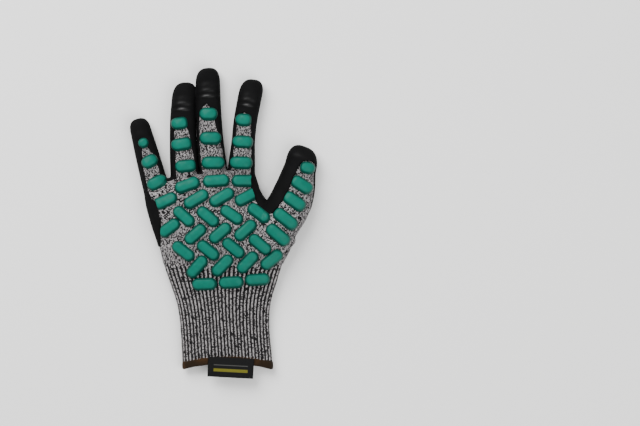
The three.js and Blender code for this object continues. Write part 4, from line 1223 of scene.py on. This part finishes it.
# The mouth's two ends turn tightest, and the thread bunches up there.
mouth_middle, mouth_half, mouth_height = cuff_row(0.0)
end = np.abs((walk[:, 0] - mouth_middle) / mouth_half) ** 16
for j in range(HEM_PROFILE):
    angle = 2 * math.pi * j / HEM_PROFILE
    rise = 0.5 + 0.5 * signed_power(math.sin(angle), HEM_TOP_POWER)
    thick = 0.5 * signed_power(math.cos(angle), HEM_SIDE_POWER) * (1.0 - 0.12 * rise)
    phase = 2 * np.pi * (np.arange(hem_steps) / POINTS_PER_WRAP + WRAP_SLANT * rise)
    thread = WRAP_DEPTH * (np.abs(np.cos(phase / 2)) - 0.6)
    step = np.arange(hem_steps)
    wrap = thread + HEM_UNEVEN * np.sin(0.021 * step) * np.sin(0.047 * step)
    reach = thick * HEM_THICKNESS * (1 + END_BULGE * end) + wrap * math.cos(angle)
    hem_points[:, j, 0] = walk[:, 0] + out[:, 0] * reach
    hem_points[:, j, 1] = (rise * HEM_HEIGHT + mouth_arch(walk[:, 0])
                           + (0.5 * END_BULGE * end + wrap) * math.sin(angle))
    hem_points[:, j, 2] = walk[:, 1] + out[:, 1] * reach
hem_faces = tube_faces(hem_steps + 1, HEM_PROFILE)
hem_faces = (hem_faces % (hem_steps * HEM_PROFILE)).tolist()
hem_material, tree, shader = new_material("brown overlock thread", Roughness=0.9,
                                          Sheen_Weight=0.08, Sheen_Roughness=0.5,
                                          Specular_IOR_Level=0.1)
place = add_node(tree, "ShaderNodeTexCoord").outputs["Object"]
patches = add_node(tree, "ShaderNodeTexNoise", {"Vector": place, "Scale": 45.0, "Detail": 4.0})
worn = mixed(tree, ramp(tree, patches.outputs["Fac"], 0.38, 0.62), THREAD_COLOR, THREAD_SHADE)
tree.links.new(toned(tree, place, worn, 0.5, 1.2), shader.inputs["Base Color"])
fibres = add_node(tree, "ShaderNodeTexNoise", {"Vector": place, "Scale": 4500.0, "Detail": 3.0})
add_relief(tree, shader, fibres.outputs["Fac"], 0.12, 0.7)
hem = new_piece("overlocked_hem", hem_points.reshape(-1, 3), hem_faces, hem_material)
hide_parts("hem")

# The woven label.
# A folded tape of black satin weave, sewn over the hem and hanging past the mouth.
# It carries two plain woven bars, a yellow-green one and a thin grey one.
LABEL_WIDTH = 39.0
LABEL_LENGTH = 17.0
LABEL_THICKNESS = 0.9
LABEL_ACROSS = 0.075
LABEL_TURN = -3.0
LABEL_OVERLAP = 5.2
LABEL_COLUMNS = 60
LABEL_LINES = 34
LABEL_SAG = [(0, 0), (0.5, 0), (0.75, -0.3), (1, -1)]
TAPE_COLOR = (0.004, 0.004, 0.0042, 1.0)
BAR_COLOR = (0.115, 0.107, 0.011, 1.0)
THIN_BAR_COLOR = (0.06, 0.06, 0.057, 1.0)

# The two bars across the tape and along it, in millimetres, and the blur of their edges.
BAR_REACH = (-14.5, 14.5)
BAR_SPAN = (-2.1, 0.5)
THIN_BAR_SPAN = (3.2, 3.8)
BAR_BLUR = 0.15

label_centre = LABEL_ACROSS * CUFF_WIDTH
turn = math.radians(LABEL_TURN)
side, share = np.meshgrid(np.linspace(-0.5, 0.5, LABEL_COLUMNS + 1),
                          np.linspace(0, 1, LABEL_LINES + 1))
down = LABEL_OVERLAP + mouth_arch(label_centre) - share * LABEL_LENGTH
label_x, label_y = turned(side * LABEL_WIDTH, down, turn)
label_x = label_x + label_centre
over = np.minimum(np.abs((label_x - mouth_middle) / mouth_half), 1)
top = (LINER_FLOOR + BELLY_SHARE * mouth_height
       + (1 - BELLY_SHARE) * mouth_height * (1 - over**OVAL_POWER) ** (1 / OVAL_POWER))
sag = curve_through(*zip(*LABEL_SAG), share)
ripple = 0.18 * share**2 * np.sin(5.0 * side + 0.8)
label_z = top + (HEM_THICKNESS - KNIT_WALL) / 2 + CLEARANCE + sag + ripple
upper = np.stack([label_x, label_y, label_z + LABEL_THICKNESS], axis=-1)
lower = np.stack([label_x, label_y, label_z], axis=-1)
label_rows = []
for line in range(LABEL_LINES + 1):
    edge = 0.5 * (upper[line] + lower[line])
    label_rows.append(np.vstack([lower[line][1:-1], edge[-1:], upper[line][1:-1][::-1],
                                 edge[:1]]))
label_points, label_faces = closed_loft(label_rows)
label_faces = [face[::-1] for face in label_faces]
label_material, tree, shader = new_material("black satin tape", Roughness=0.6,
                                            Specular_IOR_Level=0.1)
label = new_piece("woven_label", label_points, label_faces, label_material)
# The tape's own map: millimetres across it and along it.
tape = label.data.uv_layers.new(name="tape")
flat = np.array([vertex.co[:] for vertex in label.data.vertices]) / MM - PATTERN_SHIFT
tape_map = np.column_stack(turned(flat[:, 0] - label_centre, flat[:, 1], -turn))
corner_vertices = np.empty(len(label.data.loops), np.int32)
label.data.loops.foreach_get("vertex_index", corner_vertices)
tape.data.foreach_set("uv", tape_map[corner_vertices].ravel())


def woven_bar(tree, position, across_range, along_range):
    """A mask for one plain bar woven into the tape."""
    split = add_node(tree, "ShaderNodeSeparateXYZ", {"Vector": position})
    mask = 1.0
    for output, (low, high) in (("X", across_range), ("Y", along_range)):
        rising = ramp(tree, split.outputs[output], low - BAR_BLUR, low + BAR_BLUR)
        falling = ramp(tree, split.outputs[output], high - BAR_BLUR, high + BAR_BLUR, 1.0, 0.0)
        mask = maths(tree, "MULTIPLY", maths(tree, "MULTIPLY", rising, falling), mask)
    return mask


position = add_node(tree, "ShaderNodeUVMap", uv_map="tape").outputs["UV"]
bar = woven_bar(tree, position, BAR_REACH, BAR_SPAN)
thin_bar = woven_bar(tree, position, BAR_REACH, THIN_BAR_SPAN)
tinted = mixed(tree, bar, TAPE_COLOR, BAR_COLOR)
tinted = mixed(tree, thin_bar, tinted, THIN_BAR_COLOR)
place = add_node(tree, "ShaderNodeTexCoord").outputs["Object"]
tree.links.new(toned(tree, place, tinted, 0.4, 0.9), shader.inputs["Base Color"])
weave = add_node(tree, "ShaderNodeTexWave", {"Vector": position, "Scale": 1.6,
                                             "Distortion": 0.4})
add_relief(tree, shader, weave.outputs["Fac"], 0.05, 0.6)
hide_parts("label")
